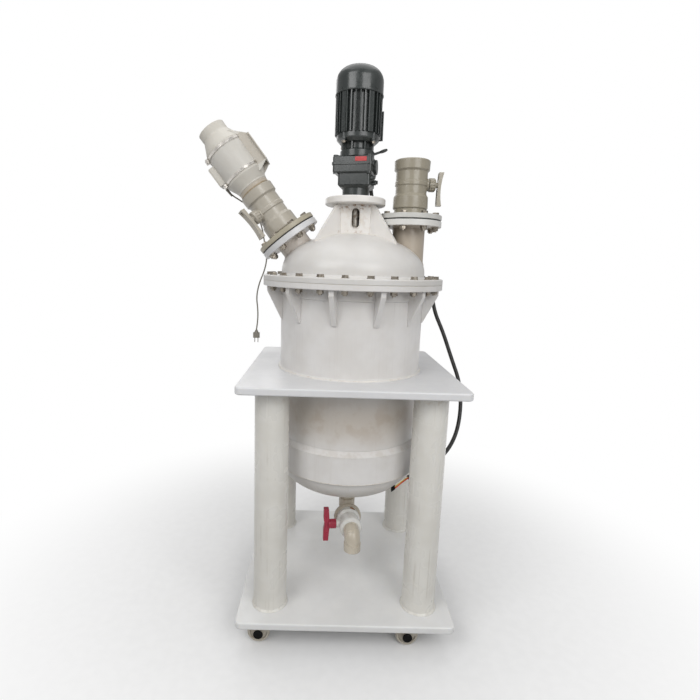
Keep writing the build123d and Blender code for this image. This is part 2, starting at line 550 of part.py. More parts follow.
def fan_bracket():
    """The mounting foot: a flat base on two side webs that saddle the drum and run out over both cones."""
    low, high = FAN_LOW_AT - 13, FAN_HIGH_AT - 13
    foot, head = FAN_LOW_AT - 30, FAN_HIGH_AT + 34
    base = Pos(93, 0, 0) * block(4, 104, low, high, 1.5)
    web = Plane.XZ * make_face(Polyline((93, low), (93, high), (46, head), (30, head), (30, foot), (58, foot),
                                        close=True))
    webs = [Pos(0, y + 2, 0) * extrude(web, 4) for y in (-40, 40)]
    inside = lathe((0, foot - 1), (PIPE_R + 9, foot - 1), (FAN_R + 0.05, FAN_LOW_AT - 12.05),
                   (FAN_R + 0.05, FAN_HIGH_AT + 10.05), (FAN_OUTLET_R + 1, FAN_OUTLET_AT - 29.9),
                   (FAN_OUTLET_R + 1, head + 50), (0, head + 50))
    body = base + webs[0] + webs[1] - inside
    for at in (FAN_LOW_AT, FAN_HIGH_AT):
        body -= cyl(FAN_R + 2.6, at - 5, at + 5)
    return VENT_FRAME * body


def fan_junction_box():
    """The terminal box on the drum's underside, with the cord grip at its lower end."""
    low, high = FAN_LOW_AT + 9, FAN_LOW_AT + 76
    box = Pos(-76, 0, low) * extrude(RectangleRounded(22, 58, 3), high - low)
    cover = Pos(-88, 0, low + 2) * extrude(RectangleRounded(3, 54, 1), high - low - 4)
    grip = Pos(-79, 20, low - 8) * Cylinder(5, 8, align=CENTRE_MIN)
    return VENT_FRAME * (box + cover + grip - cyl(FAN_R + 0.05, low - 1, high + 1))


# ---------------------------------------------------------------- drain
def bowl_inside():
    """The space inside the dished bottom."""
    half = elliptical_solid(VESSEL_R - VESSEL_WALL, BOWL_DEPTH - VESSEL_WALL)
    return Pos(0, 0, BOWL_RIM) * Rot(180, 0, 0) * half


def bent_pipe(outer, inner, *corners):
    """A pipe through the given corners, bent round at the drain's radius."""
    path = FilletPolyline(*corners, radius=DRAIN_BEND_R)
    start = Plane(origin=path @ 0, z_dir=path % 0)
    body = sweep(start * Circle(outer), path)
    return body - sweep(start * Circle(inner), path) if inner else body


def drain_elbow():
    """The neck under the bowl and its bend to the front, ending in the ring that takes the valve."""
    top = BOWL_RIM - BOWL_DEPTH + 16
    pipe = bent_pipe(DRAIN_PIPE_R, 0, (0, 0, top - DRAIN_Z), (0, 0, 0), (0, -DRAIN_VALVE_AT, 0))
    sleeve = tube(DRAIN_PIPE_R + 5, DRAIN_PIPE_R - 1, DRAIN_BEND_R + 2, DRAIN_BEND_R + 36)
    ring = Rot(90, 0, 0) * lathe((0, DRAIN_RING_AT - 8), (34, DRAIN_RING_AT - 8), (DRAIN_RING_R, DRAIN_RING_AT),
                                 (DRAIN_RING_R, DRAIN_VALVE_AT), (0, DRAIN_VALVE_AT))
    hollow = bent_pipe(DRAIN_PIPE_R - DRAIN_WALL, 0, (0, 0, top + 1 - DRAIN_Z), (0, 0, 0), (0, -DRAIN_VALVE_AT - 1, 0))
    return DRAIN_FRAME * (pipe + sleeve + ring - hollow) - bowl_inside()


def drain_valve():
    """The union ball valve's body: two ribbed nuts on a barrel with a stem boss."""
    low, high = DRAIN_VALVE_AT, DRAIN_VALVE_END
    centre = (low + high) / 2
    body = lathe((0, low), (DRAIN_NUT_R - 2, low), (DRAIN_NUT_R, low + 2), (DRAIN_NUT_R, low + 18),
                 (DRAIN_BARREL_R, low + 24), (DRAIN_BARREL_R, high - 28), (DRAIN_NUT_R - 3, high - 22),
                 (DRAIN_NUT_R - 3, high - 6), (DRAIN_NUT_R - 7, high), (0, high))
    for groove in polar(cyl(1.6, low + 2, low + 18, DRAIN_NUT_R), 20):
        body -= groove
    body += Pos(0, 0, centre) * Rot(0, -90, 0) * cyl(14, 30, DRAIN_BOSS_END)
    body -= cyl(DRAIN_BORE_R, low, high)
    body -= cyl(DRAIN_PIPE_R, high - 18, high)
    body -= Pos(0, 0, centre) * Sphere(DRAIN_BALL_R + 0.4)
    body -= Pos(0, 0, centre) * Rot(0, -90, 0) * cyl(DRAIN_STEM_R + RUNNING_GAP, 20, DRAIN_BOSS_END + 1)
    return DRAIN_FLOW * body


def drain_ball():
    """The ball, turned shut across the pipe, with its stem."""
    ball = Sphere(DRAIN_BALL_R) - Rot(90, 0, 0) * Cylinder(DRAIN_BORE_R, 2 * DRAIN_BALL_R)
    stem = Rot(0, -90, 0) * cyl(DRAIN_STEM_R, DRAIN_BALL_R - 4, TEE_FROM + 6)
    return DRAIN_FLOW * Pos(0, 0, (DRAIN_VALVE_AT + DRAIN_VALVE_END) / 2) * (ball + stem)


def drain_handle():
    """The tee handle: a ribbed hub and two flared arms, standing across the pipe when shut."""
    hub = cyl(17, TEE_FROM, TEE_TO - 18)
    for flute in polar(cyl(2, TEE_FROM - 1, TEE_TO - 24, 17.4), 12):
        hub -= flute
    hub -= cyl(DRAIN_STEM_R, TEE_FROM - 1, TEE_FROM + 6)
    half = TEE_HALF
    outline = Polyline((TEE_TO - 22, 9), (TEE_TO - 18, half), (TEE_TO, half), (TEE_TO, half / 3), (TEE_TO - 4, 0),
                       (TEE_TO, -half / 3), (TEE_TO, -half), (TEE_TO - 18, -half), (TEE_TO - 22, -9), close=True)
    wing = Plane.XZ * make_face(outline)
    arms = Pos(0, 10, 0) * extrude(wing, 20)
    for side in (-1, 1):
        arms -= Pos(TEE_TO - 22, 0, side * (half - 22)) * Box(30, 13, 34)
    arms = Rot(0, 0, 180) * Rot(-90, 0, 0) * arms
    tee = Rot(0, -90, 0) * hub + arms
    return DRAIN_FLOW * Pos(0, 0, (DRAIN_VALVE_AT + DRAIN_VALVE_END) / 2) * tee


def drain_outlet():
    """The outlet elbow: a spigot in the valve, a bend, and a socket that opens downward."""
    start, drop = DRAIN_VALVE_END, DRAIN_Z - OUTLET_END_Z
    bend = bent_pipe(OUTLET_R - 2, OUTLET_R - 8, (0, -start, 0), (0, -OUTLET_AT, 0), (0, -OUTLET_AT, -drop))
    spigot = Rot(90, 0, 0) * tube(DRAIN_PIPE_R, OUTLET_R - 8, start - 18, start)
    socket = Pos(0, -OUTLET_AT, 0) * tube(OUTLET_R, DRAIN_PIPE_R + 0.1, -drop, 26 - drop)
    clear = Pos(0, -OUTLET_AT, 0) * cyl(DRAIN_PIPE_R + 0.1, -drop - 1, 26 - drop)
    return DRAIN_FRAME * (bend + spigot - clear + socket)


# ---------------------------------------------------------------- gear motor
def gearbox():
    """The helical gearbox: stepped and ribbed case, output neck, motor ring and neck, plugs and eye bolt."""
    neck = cyl(46.5, PEDESTAL_TOP, 1524)
    foot = lathe((0, 1517), (48, 1517), (56, 1524), (0, 1524))
    lower = Pos(0, 2, 0) * block(112, 96, 1520, 1568, 10)
    lower = chamfer(lower.edges().group_by(Axis.Z)[0], 7)
    upper = Pos(-6, 0, 0) * block(134, 108, 1564, 1620, 9)
    upper = chamfer(upper.edges().group_by(Axis.Z)[0] + upper.edges().group_by(Axis.Z)[-1], 4)
    rib = Pos(-6, 0, 0) * block(140, 114, 1590, 1598, 11)
    bosses = [Pos(x - 6, y, 0) * cyl(9, 1562, 1622) for x in (-57, 57) for y in (-44, 44)]
    case = neck + foot + lower + upper + rib
    for boss in bosses:
        case += boss
    cover = Pos(61, 8, 1590) * Rot(0, 90, 0) * Cylinder(24, 8, align=CENTRE_MIN)
    case += cover
    for plug_y, plug_z in ((-30, 1550), (-6, 1536), (30, 1545)):
        plug = Rot(0, 90, 0) * (Cylinder(8, 8, align=CENTRE_MIN) + extrude(RegularPolygon(6.5, 6), 14))
        case += Pos(56, plug_y, plug_z) * plug
    ring = lathe((0, 1618), (58.5, 1618), (58.5, 1638), (52, 1643), (0, 1643))
    throat = lathe((0, 1640), (46, 1640), (46, 1664), (0, 1664))
    case = GEARBOX_FRAME * case + ring + throat
    for web in polar(Pos(50, 0, 1651.5) * Box(14, 5, 25), 8, 22.5):
        case += web
    eye = cyl(4, 0, 34) + Pos(0, 0, 42) * Rot(0, 90, 0) * Torus(11, 3.5)
    case += Pos(50, 0, 1632) * Rot(0, 70, 0) * eye
    case -= cyl(SHAFT_R + RUNNING_GAP, PEDESTAL_TOP - 1, SHAFT_TOP + 1)
    return case - cyl(ROTOR_R + RUNNING_GAP, 1640, 1665)


def motor_shield():
    """The bolted end shield between the gearbox throat and the finned frame."""
    low, high = 1664.0, MOTOR_BOTTOM
    disc = lathe((ROTOR_R + RUNNING_GAP, low), (60, low), (70, low + 9), (72, low + 12), (72, high),
                 (ROTOR_R + RUNNING_GAP, high))
    for ear in polar(Pos(68, 0, 0) * (cyl(7, low + 4, high) + Pos(0, 0, low - 1) * extrude(RegularPolygon(6, 6), 5)),
                     4, 45):
        disc += ear
    return disc


def motor_frame():
    """The finned stator frame: radial fins and four broad pads round a bored core, with a spigot on top."""
    fins = PolarLocations(MOTOR_CORE_R + 4, MOTOR_FINS) * Rectangle(2 * (MOTOR_R - MOTOR_CORE_R - 4), 4.0)
    pads = [Rot(0, 0, a) * Pos(MOTOR_R - 8, 0) * Rectangle(15, 17) for a in (-62, -133, 28, 118)]
    section = Circle(MOTOR_CORE_R) + fins
    for pad in pads:
        section += pad
    section = section & Circle(MOTOR_R)
    body = Pos(0, 0, MOTOR_BOTTOM) * extrude(section, COWL_BOTTOM - 1 - MOTOR_BOTTOM)
    body += cyl(COWL_R - COWL_WALL, COWL_BOTTOM - 1, MOTOR_TOP)
    return body - cyl(ROTOR_R + RUNNING_GAP, MOTOR_BOTTOM, MOTOR_TOP)


def cowl_solid(radius, top):
    """The cowl's outline turned solid: straight side, elliptical shoulder and flat crown."""
    side = top - COWL_SHOULDER
    arc = EllipticalCenterArc((COWL_CROWN_R, side), radius - COWL_CROWN_R, COWL_SHOULDER, start_angle=0, arc_size=90)
    face = make_face([
        arc,
        Line((COWL_CROWN_R, top), (0, top)),
        Line((0, top), (0, COWL_BOTTOM)),
        Line((0, COWL_BOTTOM), (radius, COWL_BOTTOM)),
        Line((radius, COWL_BOTTOM), (radius, side)),
    ])
    return revolve(Plane.XZ * face, Axis.Z)


def motor_cowl():
    """The rounded sheet fan cowl with its air slots, over the cooling fan."""
    body = cowl_solid(COWL_R, COWL_TOP) - cowl_solid(COWL_R - COWL_WALL, COWL_TOP - COWL_WALL)
    slot = Pos((COWL_CROWN_R + 8) / 2, 0, COWL_TOP) * Box(COWL_CROWN_R - 12, 3, 10)
    for piece in polar(slot, 16):
        body -= piece
    for screw in polar(Pos(COWL_R - 1, 0, COWL_BOTTOM + 12) * Rot(0, 90, 0) * Cylinder(4.5, 5), 4, -140):
        body += screw
    return body - cyl(COWL_R - COWL_WALL, COWL_BOTTOM, COWL_BOTTOM + 40)


def terminal_box():
    """The cable terminal box on the motor's far side, with its lid and the gland below."""
    low, high = TERMINAL_BOTTOM, TERMINAL_BOTTOM + 94
    body = Pos(92, 0, low) * extrude(RectangleRounded(26, 84, 8), high - low)
    cover = Pos(107, 0, low - 2) * extrude(RectangleRounded(5, 90, 2), high - low + 4)
    bridge = Pos(74, 0, low + 19) * extrude(Rectangle(20, 50), 56)
    gland = Pos(93, 0, low - GLAND_DROP) * Cylinder(12, GLAND_DROP, align=CENTRE_MIN)
    nut = Pos(93, 0, low - 11) * extrude(RegularPolygon(14, 6), 8)
    box = body + cover + bridge + gland + nut - cyl(MOTOR_R + 0.02, low - 1, high + 1)
    return Rot(0, 0, TERMINAL_AZIMUTH) * box


def motor_rotor():
    """The motor shaft with its cooling fan under the cowl."""
    low, high = 1641.0, 1862.0
    body = cyl(ROTOR_R, low, high)
    fan_low = MOTOR_TOP + 8
    body += cyl(22, fan_low, fan_low + 30)
    body += tube(58, ROTOR_R - 1, fan_low, fan_low + 3)
    for blade in polar(Pos(39, 0, fan_low + 15) * Box(38, 2.5, 28), 8):
        body += blade
    return body


# ---------------------------------------------------------------- cords
def fan_cord():
    return cord_tube(FAN_CORD_ROUTE, FAN_CORD_R, "fan cord")


def fan_plug():
    """The moulded mains plug at the cord's end."""
    x, y, z = FAN_CORD_ROUTE[-1]
    body = Pos(0, 0, -30) * extrude(RectangleRounded(24, 16, 5), 20)
    neck = Pos(0, 0, -10) * Cone(8, 4, 10, align=CENTRE_MIN)
    pins = [Pos(px, 0, -47) * extrude(Rectangle(2, 6), 18) for px in (-6, 6)]
    return Pos(x, y, z) * (body + neck + pins[0] + pins[1])


def motor_cable():
    """The sheathed supply cable, and the stripped conductors fanning out of its cut end."""
    sheath = cord_tube(MOTOR_CABLE_ROUTE, MOTOR_CABLE_R, "motor cable")
    x, y, z = MOTOR_CABLE_ROUTE[-1]
    cores = []
    for side in (-4.4, 0.0, 4.4):
        route = [(x - side * 0.7, y + side * 0.6, z), (x - 22 - side, y - 10 + side, z - 10 + side),
                 (x - 42 - side, y - 14 + 2 * side, z - 27 + side), (x - 60, y - 17 + 3 * side, z - 37 + side)]
        cores.append(cord_tube(route, 1.6, "core"))
    return [sheath] + cores


# ---------------------------------------------------------------- assembly
def flanged_group(name, frame, stub, reach, turn):
    """The nozzle, its flanged joint and its valve, under one name."""
    valve = frame * Rot(0, 0, turn)
    return {
        f"{name}_nozzle": nozzle(frame, reach),
        f"{name}_gasket": nozzle_gasket(frame),
        f"{name}_upper_flange": upper_flange(frame),
        f"{name}_flange_bolts": nozzle_bolts(frame),
        f"{name}_valve_body": valve_body(valve, stub),
        f"{name}_valve_ball": valve_ball(valve, stub),
        f"{name}_valve_handle": valve_handle(valve, stub),
    }


def nodes():
    """Every sub-part by name, around the vessel axis."""
    made = {
        "base_plate": base_plate(),
        "deck_plate": deck_plate(),
        "leg_front_left": leg(-LEG_X, -LEG_Y),
        "leg_front_right": leg(LEG_X, -LEG_Y),
        "leg_back_left": leg(-LEG_X, LEG_Y),
        "leg_back_right": leg(LEG_X, LEG_Y),
        "castor_plates": castor_plates(),
    }
    corners = ("front_left", "front_right", "back_left", "back_right")
    for corner, (x, y) in zip(corners, castor_places()):
        made[f"castor_fork_{corner}"] = Pos(x, y, 0) * castor_fork()
        made[f"castor_wheel_{corner}"] = Pos(x, y, 0) * castor_wheel()
    made |= {
        "vessel_shell": vessel_shell(),
        "vessel_flange": vessel_flange(),
        "bottom_head": bottom_head(),
        "main_gasket": main_gasket(),
        "lid": lid(),
        "lid_bolts": lid_bolts(),
        "pedestal": pedestal(),
        "shaft_seal": shaft_seal(),
        "agitator": agitator(),
        "shaft_coupling": shaft_coupling(),
    }
    made |= flanged_group("feed", FEED_FRAME, FEED_STUB, FEED_Z - DOME_RIM, 0)
    made |= flanged_group("vent", VENT_FRAME, VENT_STUB, 95, VENT_HANDLE_TURN)
    made |= {
        "fan_inlet": fan_inlet(),
        "fan_body": fan_body(),
        "fan_outlet": fan_outlet(),
        "fan_clamps": fan_clamps(),
        "fan_bracket": fan_bracket(),
        "fan_junction_box": fan_junction_box(),
        "fan_impeller": fan_impeller(),
        "drain_elbow": drain_elbow(),
        "drain_valve_body": drain_valve(),
        "drain_valve_ball": drain_ball(),
        "drain_valve_handle": drain_handle(),
        "drain_outlet": drain_outlet(),
        "gearbox": gearbox(),
        "motor_shield": motor_shield(),
        "motor_frame": motor_frame(),
        "motor_cowl": motor_cowl(),
        "terminal_box": terminal_box(),
        "motor_rotor": motor_rotor(),
        "fan_cord": fan_cord(),
        "fan_plug": fan_plug(),
        "motor_cable": motor_cable(),
    }
    return made


def main():
    os.makedirs("parts", exist_ok=True)
    shift = Pos(VESSEL_AXIS_X, 0, 0)
    for name, shape in nodes().items():
        pieces = shape if isinstance(shape, list) else [shape]
        solids = [shift * solid for piece in pieces for solid in piece.solids()]
        whole = solids[0] if len(solids) == 1 else Compound(children=solids)
        export_step(whole, f"parts/{name}.step")
        print(name, len(solids))


main()
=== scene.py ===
"""Looks of the stirred polypropylene reaction kettle on its castor stand.

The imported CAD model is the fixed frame.  Each sub-assembly below is a class that keeps its sizes in metres,
adds the pieces that are too fine for the solids, and dresses the solids that it is made of.
"""

from __future__ import annotations

import json
import logging
import math
from dataclasses import dataclass, field
from enum import Enum
from typing import Callable, Iterable, Sequence
import bmesh
import bpy
from mathutils import Matrix, Vector


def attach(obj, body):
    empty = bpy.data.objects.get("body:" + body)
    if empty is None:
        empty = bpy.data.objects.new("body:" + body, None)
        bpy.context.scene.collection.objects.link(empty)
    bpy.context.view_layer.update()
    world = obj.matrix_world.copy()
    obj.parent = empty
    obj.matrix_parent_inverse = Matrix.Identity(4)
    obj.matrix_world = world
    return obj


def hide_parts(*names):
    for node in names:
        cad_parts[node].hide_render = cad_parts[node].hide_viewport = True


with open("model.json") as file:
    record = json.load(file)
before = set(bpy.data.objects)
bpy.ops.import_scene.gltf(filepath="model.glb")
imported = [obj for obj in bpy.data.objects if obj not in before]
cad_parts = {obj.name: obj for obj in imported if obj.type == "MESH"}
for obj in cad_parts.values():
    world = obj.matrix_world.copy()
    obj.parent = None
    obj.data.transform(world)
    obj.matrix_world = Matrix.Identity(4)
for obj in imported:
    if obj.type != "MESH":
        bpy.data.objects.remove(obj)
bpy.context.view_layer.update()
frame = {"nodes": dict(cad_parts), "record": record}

log = logging.getLogger("kettle")

MM = 0.001
ROOT_BODY = "kettle"
WHITE = (1.0, 1.0, 1.0, 1.0)

AXIS_X = 0.0901
"""Where the vessel's axis stands, from the origin."""

UP = Vector((0.0, 0.0, 1.0))
RIGHT = Vector((1.0, 0.0, 0.0))
FEED_ORIGIN = Vector((AXIS_X + 0.191, 0.0, 1.417))
"""The middle of the feed's flanged joint."""

VENT_TILT = math.radians(38.0)
VENT_ORIGIN = Vector((AXIS_X - 0.230, 0.0, 1.355))
"""The middle of the vent's flanged joint."""

VENT_AHEAD = Vector((-math.sin(VENT_TILT), 0.0, math.cos(VENT_TILT)))
VENT_SIDE = Vector((math.cos(VENT_TILT), 0.0, math.sin(VENT_TILT)))


def linear(colour: str) -> tuple[float, float, float, float]:
    """Turn a written colour into the linear values that a socket takes.

    Args:
        colour: Six hexadecimal digits after a hash sign.

    Returns:
        Red, green, blue and alpha, in linear light.
    """
    parts = [int(colour[i:i + 2], 16) / 255 for i in (1, 3, 5)]
    curve = [c / 12.92 if c <= 0.04045 else ((c + 0.055) / 1.055) ** 2.4 for c in parts]
    return (curve[0], curve[1], curve[2], 1.0)


# ------------------------------------------------------------------------------------------ shader toolkit
class Sock:
    """One output socket in a material, with arithmetic that adds Math nodes."""

    def __init__(self, shader: Shader, socket: bpy.types.NodeSocket) -> None:
        """Keep the socket and the shader that it belongs to."""
        self.shader = shader
        self.socket = socket

    def _math(self, operation: str, first: Value, second: Value = 0.0) -> Sock:
        """Add one Math node.

        Args:
            operation: The Math node's operation.
            first: Its first value.
            second: Its second value.

        Returns:
            The node's result.
        """
        return self.shader.node("ShaderNodeMath", {"operation": operation}, {0: first, 1: second})

    def __add__(self, other: Value) -> Sock:
        """Sum."""
        return self._math("ADD", self, other)

    __radd__ = __add__

    def __sub__(self, other: Value) -> Sock:
        """Difference."""
        return self._math("SUBTRACT", self, other)

    def __rsub__(self, other: Value) -> Sock:
        """Difference, the other way round."""
        return self._math("SUBTRACT", other, self)

    def __mul__(self, other: Value) -> Sock:
        """Product."""
        return self._math("MULTIPLY", self, other)

    __rmul__ = __mul__

    def __pow__(self, power: float) -> Sock:
        """Power."""
        return self._math("POWER", self, power)

    def __abs__(self) -> Sock:
        """Size without sign."""
        return self._math("ABSOLUTE", self)

    def larger(self, other: Value) -> Sock:
        """The larger of the two."""
        return self._math("MAXIMUM", self, other)

    def ramp(self, low: float, high: float, to_low: float = 0.0, to_high: float = 1.0) -> Sock:
        """A smooth step between two values.

        Args:
            low: The value at which the step begins.
            high: The value at which it ends.
            to_low: What it gives at or before the beginning.
            to_high: What it gives from the end on.

        Returns:
            The stepped value.
        """
        return self.shader.node(
            "ShaderNodeMapRange", {"interpolation_type": "SMOOTHSTEP"},
            {"Value": self, "From Min": low, "From Max": high, "To Min": to_low, "To Max": to_high})


Value = "Sock | float | int | tuple"
"""What a socket takes: a link or a plain value."""


class Shader:
    """One material while it is being made."""

    def __init__(self, name: str) -> None:
        """Make the material, with an output and nothing else."""
        self.material = bpy.data.materials.new(name)
        self.material.use_nodes = True
        self.tree = self.material.node_tree
        self.tree.nodes.clear()
        self.place = self.node("ShaderNodeTexCoord", output="Object")

    def node(self, kind: str, settings: dict | None = None, inputs: dict | None = None,
             output: str | int = 0) -> Sock:
        """Add a node.

        Args:
            kind: The node's type.
            settings: Properties that are set first; "stops" is a ramp's list of (place, colour).
            inputs: Values or links, by the socket's name or number.
            output: The output that is wanted.

        Returns:
            That output.
        """
        made = self.tree.nodes.new(kind)
        for key, value in (settings or {}).items():
            if key == "stops":
                self._stops(made.color_ramp, value)
            else:
                setattr(made, key, value)
        for key, value in (inputs or {}).items():
            if isinstance(value, Sock):
                self.tree.links.new(value.socket, made.inputs[key])
            else:
                made.inputs[key].default_value = value
        return Sock(self, made.outputs[output])

    @staticmethod
    def _stops(ramp: bpy.types.ColorRamp, stops: Sequence[tuple[float, tuple]]) -> None:
        """Set a colour ramp's stops."""
        while len(ramp.elements) < len(stops):
            ramp.elements.new(0.5)
        for element, (place, colour) in zip(ramp.elements, stops):
            element.position = place
            element.color = colour

    def stretched(self, x: float, y: float, z: float, turn: float = 0.0) -> Sock:
        """The surface's own place, scaled along each axis.

        Args:
            x: Scale along X.
            y: Scale along Y.
            z: Scale along Z.
            turn: A turn about Y before the scale, in degrees.

        Returns:
            The scaled place.
        """
        placed = self.place
        if turn:
            placed = self.node("ShaderNodeMapping", {"vector_type": "POINT"},
                               {"Vector": placed, "Rotation": (0.0, math.radians(turn), 0.0)})
        return self.node("ShaderNodeMapping", {"vector_type": "POINT"},
                         {"Vector": placed, "Scale": (x, y, z)})

    def axes(self) -> tuple[Sock, Sock, Sock]:
        """The surface's own X, Y and Z, in metres."""
        split = self.tree.nodes.new("ShaderNodeSeparateXYZ")
        self.tree.links.new(self.place.socket, split.inputs[0])
        return tuple(Sock(self, out) for out in split.outputs)

    def noise(self, scale: float, detail: float = 3.0, rough: float = 0.55,
              place: Sock | None = None) -> Sock:
        """Fractal noise from 0 to 1.

        Args:
            scale: Features in a metre.
            detail: Octaves.
            rough: How strong the finer octaves are.
            place: Where it is read, instead of the surface's own place.

        Returns:
            The noise.
        """
        return self.node("ShaderNodeTexNoise", None, {
            "Vector": place or self.place, "Scale": scale, "Detail": detail, "Roughness": rough})

    def mix(self, first: Sock | tuple, second: Sock | tuple, amount: Sock | float) -> Sock:
        """Blend two colours.

        Args:
            first: The colour at 0.
            second: The colour at 1.
            amount: How far to go.

        Returns:
            The blended colour.
        """
        return self.node("ShaderNodeMix", {"data_type": "RGBA"}, {0: amount, 6: first, 7: second}, 2)

    def bump(self, height: Sock, depth: float, normal: Sock | None = None) -> Sock:
        """Turn a height from 0 to 1 into a normal.

        Args:
            height: The height.
            depth: How deep 0 to 1 is, in metres.
            normal: A normal to build on.

        Returns:
            The bent normal.
        """
        inputs = {"Strength": 1.0, "Distance": depth, "Height": height}
        if normal:
            inputs["Normal"] = normal
        return self.node("ShaderNodeBump", None, inputs)

    def soft_edges(self, radius: float) -> Sock:
        """A normal that rounds sharp edges.

        Args:
            radius: The radius of the round, in metres.

        Returns:
            The rounded normal.
        """
        return self.node("ShaderNodeBevel", {"samples": 4}, {"Radius": radius})

    def surface(self, **inputs: Sock | float | tuple) -> bpy.types.Material:
        """Close the material with a Principled shader.

        Args:
            **inputs: Its sockets, with underscores for spaces.

        Returns:
            The finished material.
        """
        named = {key.replace("_", " "): value for key, value in inputs.items()}
        principled = self.node("ShaderNodeBsdfPrincipled", None, named)
        self.node_output(principled)
        return self.material

    def node_output(self, closure: Sock) -> None:
        """Link a shader to the material's output."""
        made = self.tree.nodes.new("ShaderNodeOutputMaterial")
        self.tree.links.new(closure.socket, made.inputs["Surface"])


# ------------------------------------------------------------------------------------------------ finishes
@dataclass(frozen=True)
class GrimeAndShade:
    """A darker band across a range of heights, if need be only close to the kettle's axis: a brown, broken
    stain, and where it covers nearly the whole band, painted shade.
    """

    height: float
    reach: float
    strength: float
    colour: str = "#9a7550"
    scale: float = 60.0
    cover: float = 0.52
    within: float = 0.0

    def mask(self, shader: Shader) -> Sock:
        """Where the band's stain and painted shade lie.

        Args:
            shader: The material that it goes into.

        Returns:
            0 for clean, up to the band's strength.
        """
        x, y, z = shader.axes()
        near = abs(z - self.height).ramp(self.reach, 0.0)
        if self.within:
            near = near * abs(x - AXIS_X).larger(abs(y)).ramp(self.within, self.within - 0.004)
        broken = shader.noise(self.scale, 4.0, 0.6).ramp(self.cover, self.cover + 0.16)
        return near * broken * self.strength


def along_line(shader: Shader, origin: Sequence[float], ahead: Sequence[float]) -> Sock:
    """How far along a line the surface lies.

    Args:
        shader: The material that it goes into.
        origin: Where the line starts, in metres.
        ahead: The line's direction, of length 1.

    Returns:
        The distance from the start, in metres.
    """
    terms = [(axis - start) * part for axis, start, part in zip(shader.axes(), origin, ahead)]
    return terms[0] + terms[1] + terms[2]


@dataclass(frozen=True)
class Parting:
    """A plane across a part, beyond which it has a second colour."""

    origin: tuple[float, float, float]
    ahead: tuple[float, float, float]
    colour: str
    soft: float = 0.0006

    def mask(self, shader: Shader) -> Sock:
        """What lies beyond the plane.

        Args:
            shader: The material that it goes into.

        Returns:
            1 beyond the plane, 0 before it.
        """
        return along_line(shader, self.origin, self.ahead).ramp(-self.soft, self.soft)


@dataclass(frozen=True)
class Stretch:
    """A length of a part, between two planes, that is shaded or discoloured."""

    origin: tuple[float, float, float]
    ahead: tuple[float, float, float]
    low: float
    high: float
    colour: str
    strength: float = 1.0
    soft: float = 0.002

    def mask(self, shader: Shader) -> Sock:
        """What lies between the planes.

        Args:
            shader: The material that it goes into.

        Returns:
            The strength between the planes, 0 beyond them.
        """
        along = along_line(shader, self.origin, self.ahead)
        begun = along.ramp(self.low, self.low + self.soft)
        going_on = along.ramp(self.high, self.high - self.soft)
        return begun * going_on * self.strength


SPECK_BROWN = "#8c8376"
STREAK_BROWN = "#9c8f7d"
CHIP_GREY = "#a9aaa4"
SCORCH_BROWN = "#a58f72"
SCRATCH_TURN = 31.0
"""How far the hairline scratches lean, in degrees."""


@dataclass(frozen=True)
class Finish:
    """A surface finish by its slot's name."""

    slot: str
    colour: str
    roughness: float = 0.5

    def material(self) -> bpy.types.Material:
        """Make the finish's material."""
        raise NotImplementedError


@dataclass(frozen=True)
class SheetPlastic(Finish):
    """Welded polypropylene: waxy, faintly mottled, scuffed and stained, with painted shade from its broad
    bands.
    """

    shade: str = "#c9c5bd"
    mottling: float = 0.35
    scuffs: float = 0.5
    edge: float = 0.0012
    grime_and_shade: tuple[GrimeAndShade, ...] = ()
    streaks: float = 0.0
    waviness: float = 1.0

    def material(self) -> bpy.types.Material:
        """Make the waxy plastic."""
        shader = Shader(self.slot)
        cloud = shader.noise(7.0, 3.0, 0.6).ramp(0.35, 0.7)
        base = shader.mix(linear(self.colour), linear(self.shade), cloud * self.mottling)
        streak = shader.noise(1.0, 5.0, 0.65, shader.stretched(60.0, 60.0, 5.0)).ramp(0.55, 0.75)
        base = shader.mix(base, linear(self.shade), streak * 0.35 * self.scuffs)
        specks = shader.noise(420.0, 2.0, 0.5).ramp(0.70, 0.76)
        base = shader.mix(base, linear(SPECK_BROWN), specks * 0.35 * self.scuffs)
        if self.streaks:
            lines = shader.noise(1.0, 2.0, 0.6, shader.stretched(150.0, 150.0, 2.2)).ramp(0.52, 0.76)
            parts = shader.noise(9.0, 3.0, 0.6).ramp(0.42, 0.62)
            base = shader.mix(base, linear(STREAK_BROWN), lines * parts * self.streaks)
        for mark in self.grime_and_shade:
            base = shader.mix(base, linear(mark.colour), mark.mask(shader))
        scratch = shader.noise(1.0, 2.0, 0.5, shader.stretched(900.0, 14.0, 40.0, SCRATCH_TURN))
        ripple = shader.noise(24.0, 2.0, 0.5)
        height = scratch * 0.12 * self.scuffs + ripple * self.waviness
        normal = shader.bump(height, 0.0005, shader.soft_edges(self.edge))
        roughness = cloud * 0.10 + streak * 0.12 + (self.roughness - 0.05)
        return shader.surface(Base_Color=base, Roughness=roughness, Normal=normal, IOR=1.49,
                              Subsurface_Weight=0.12, Subsurface_Radius=(0.010, 0.009, 0.007),
                              Subsurface_Scale=0.6)


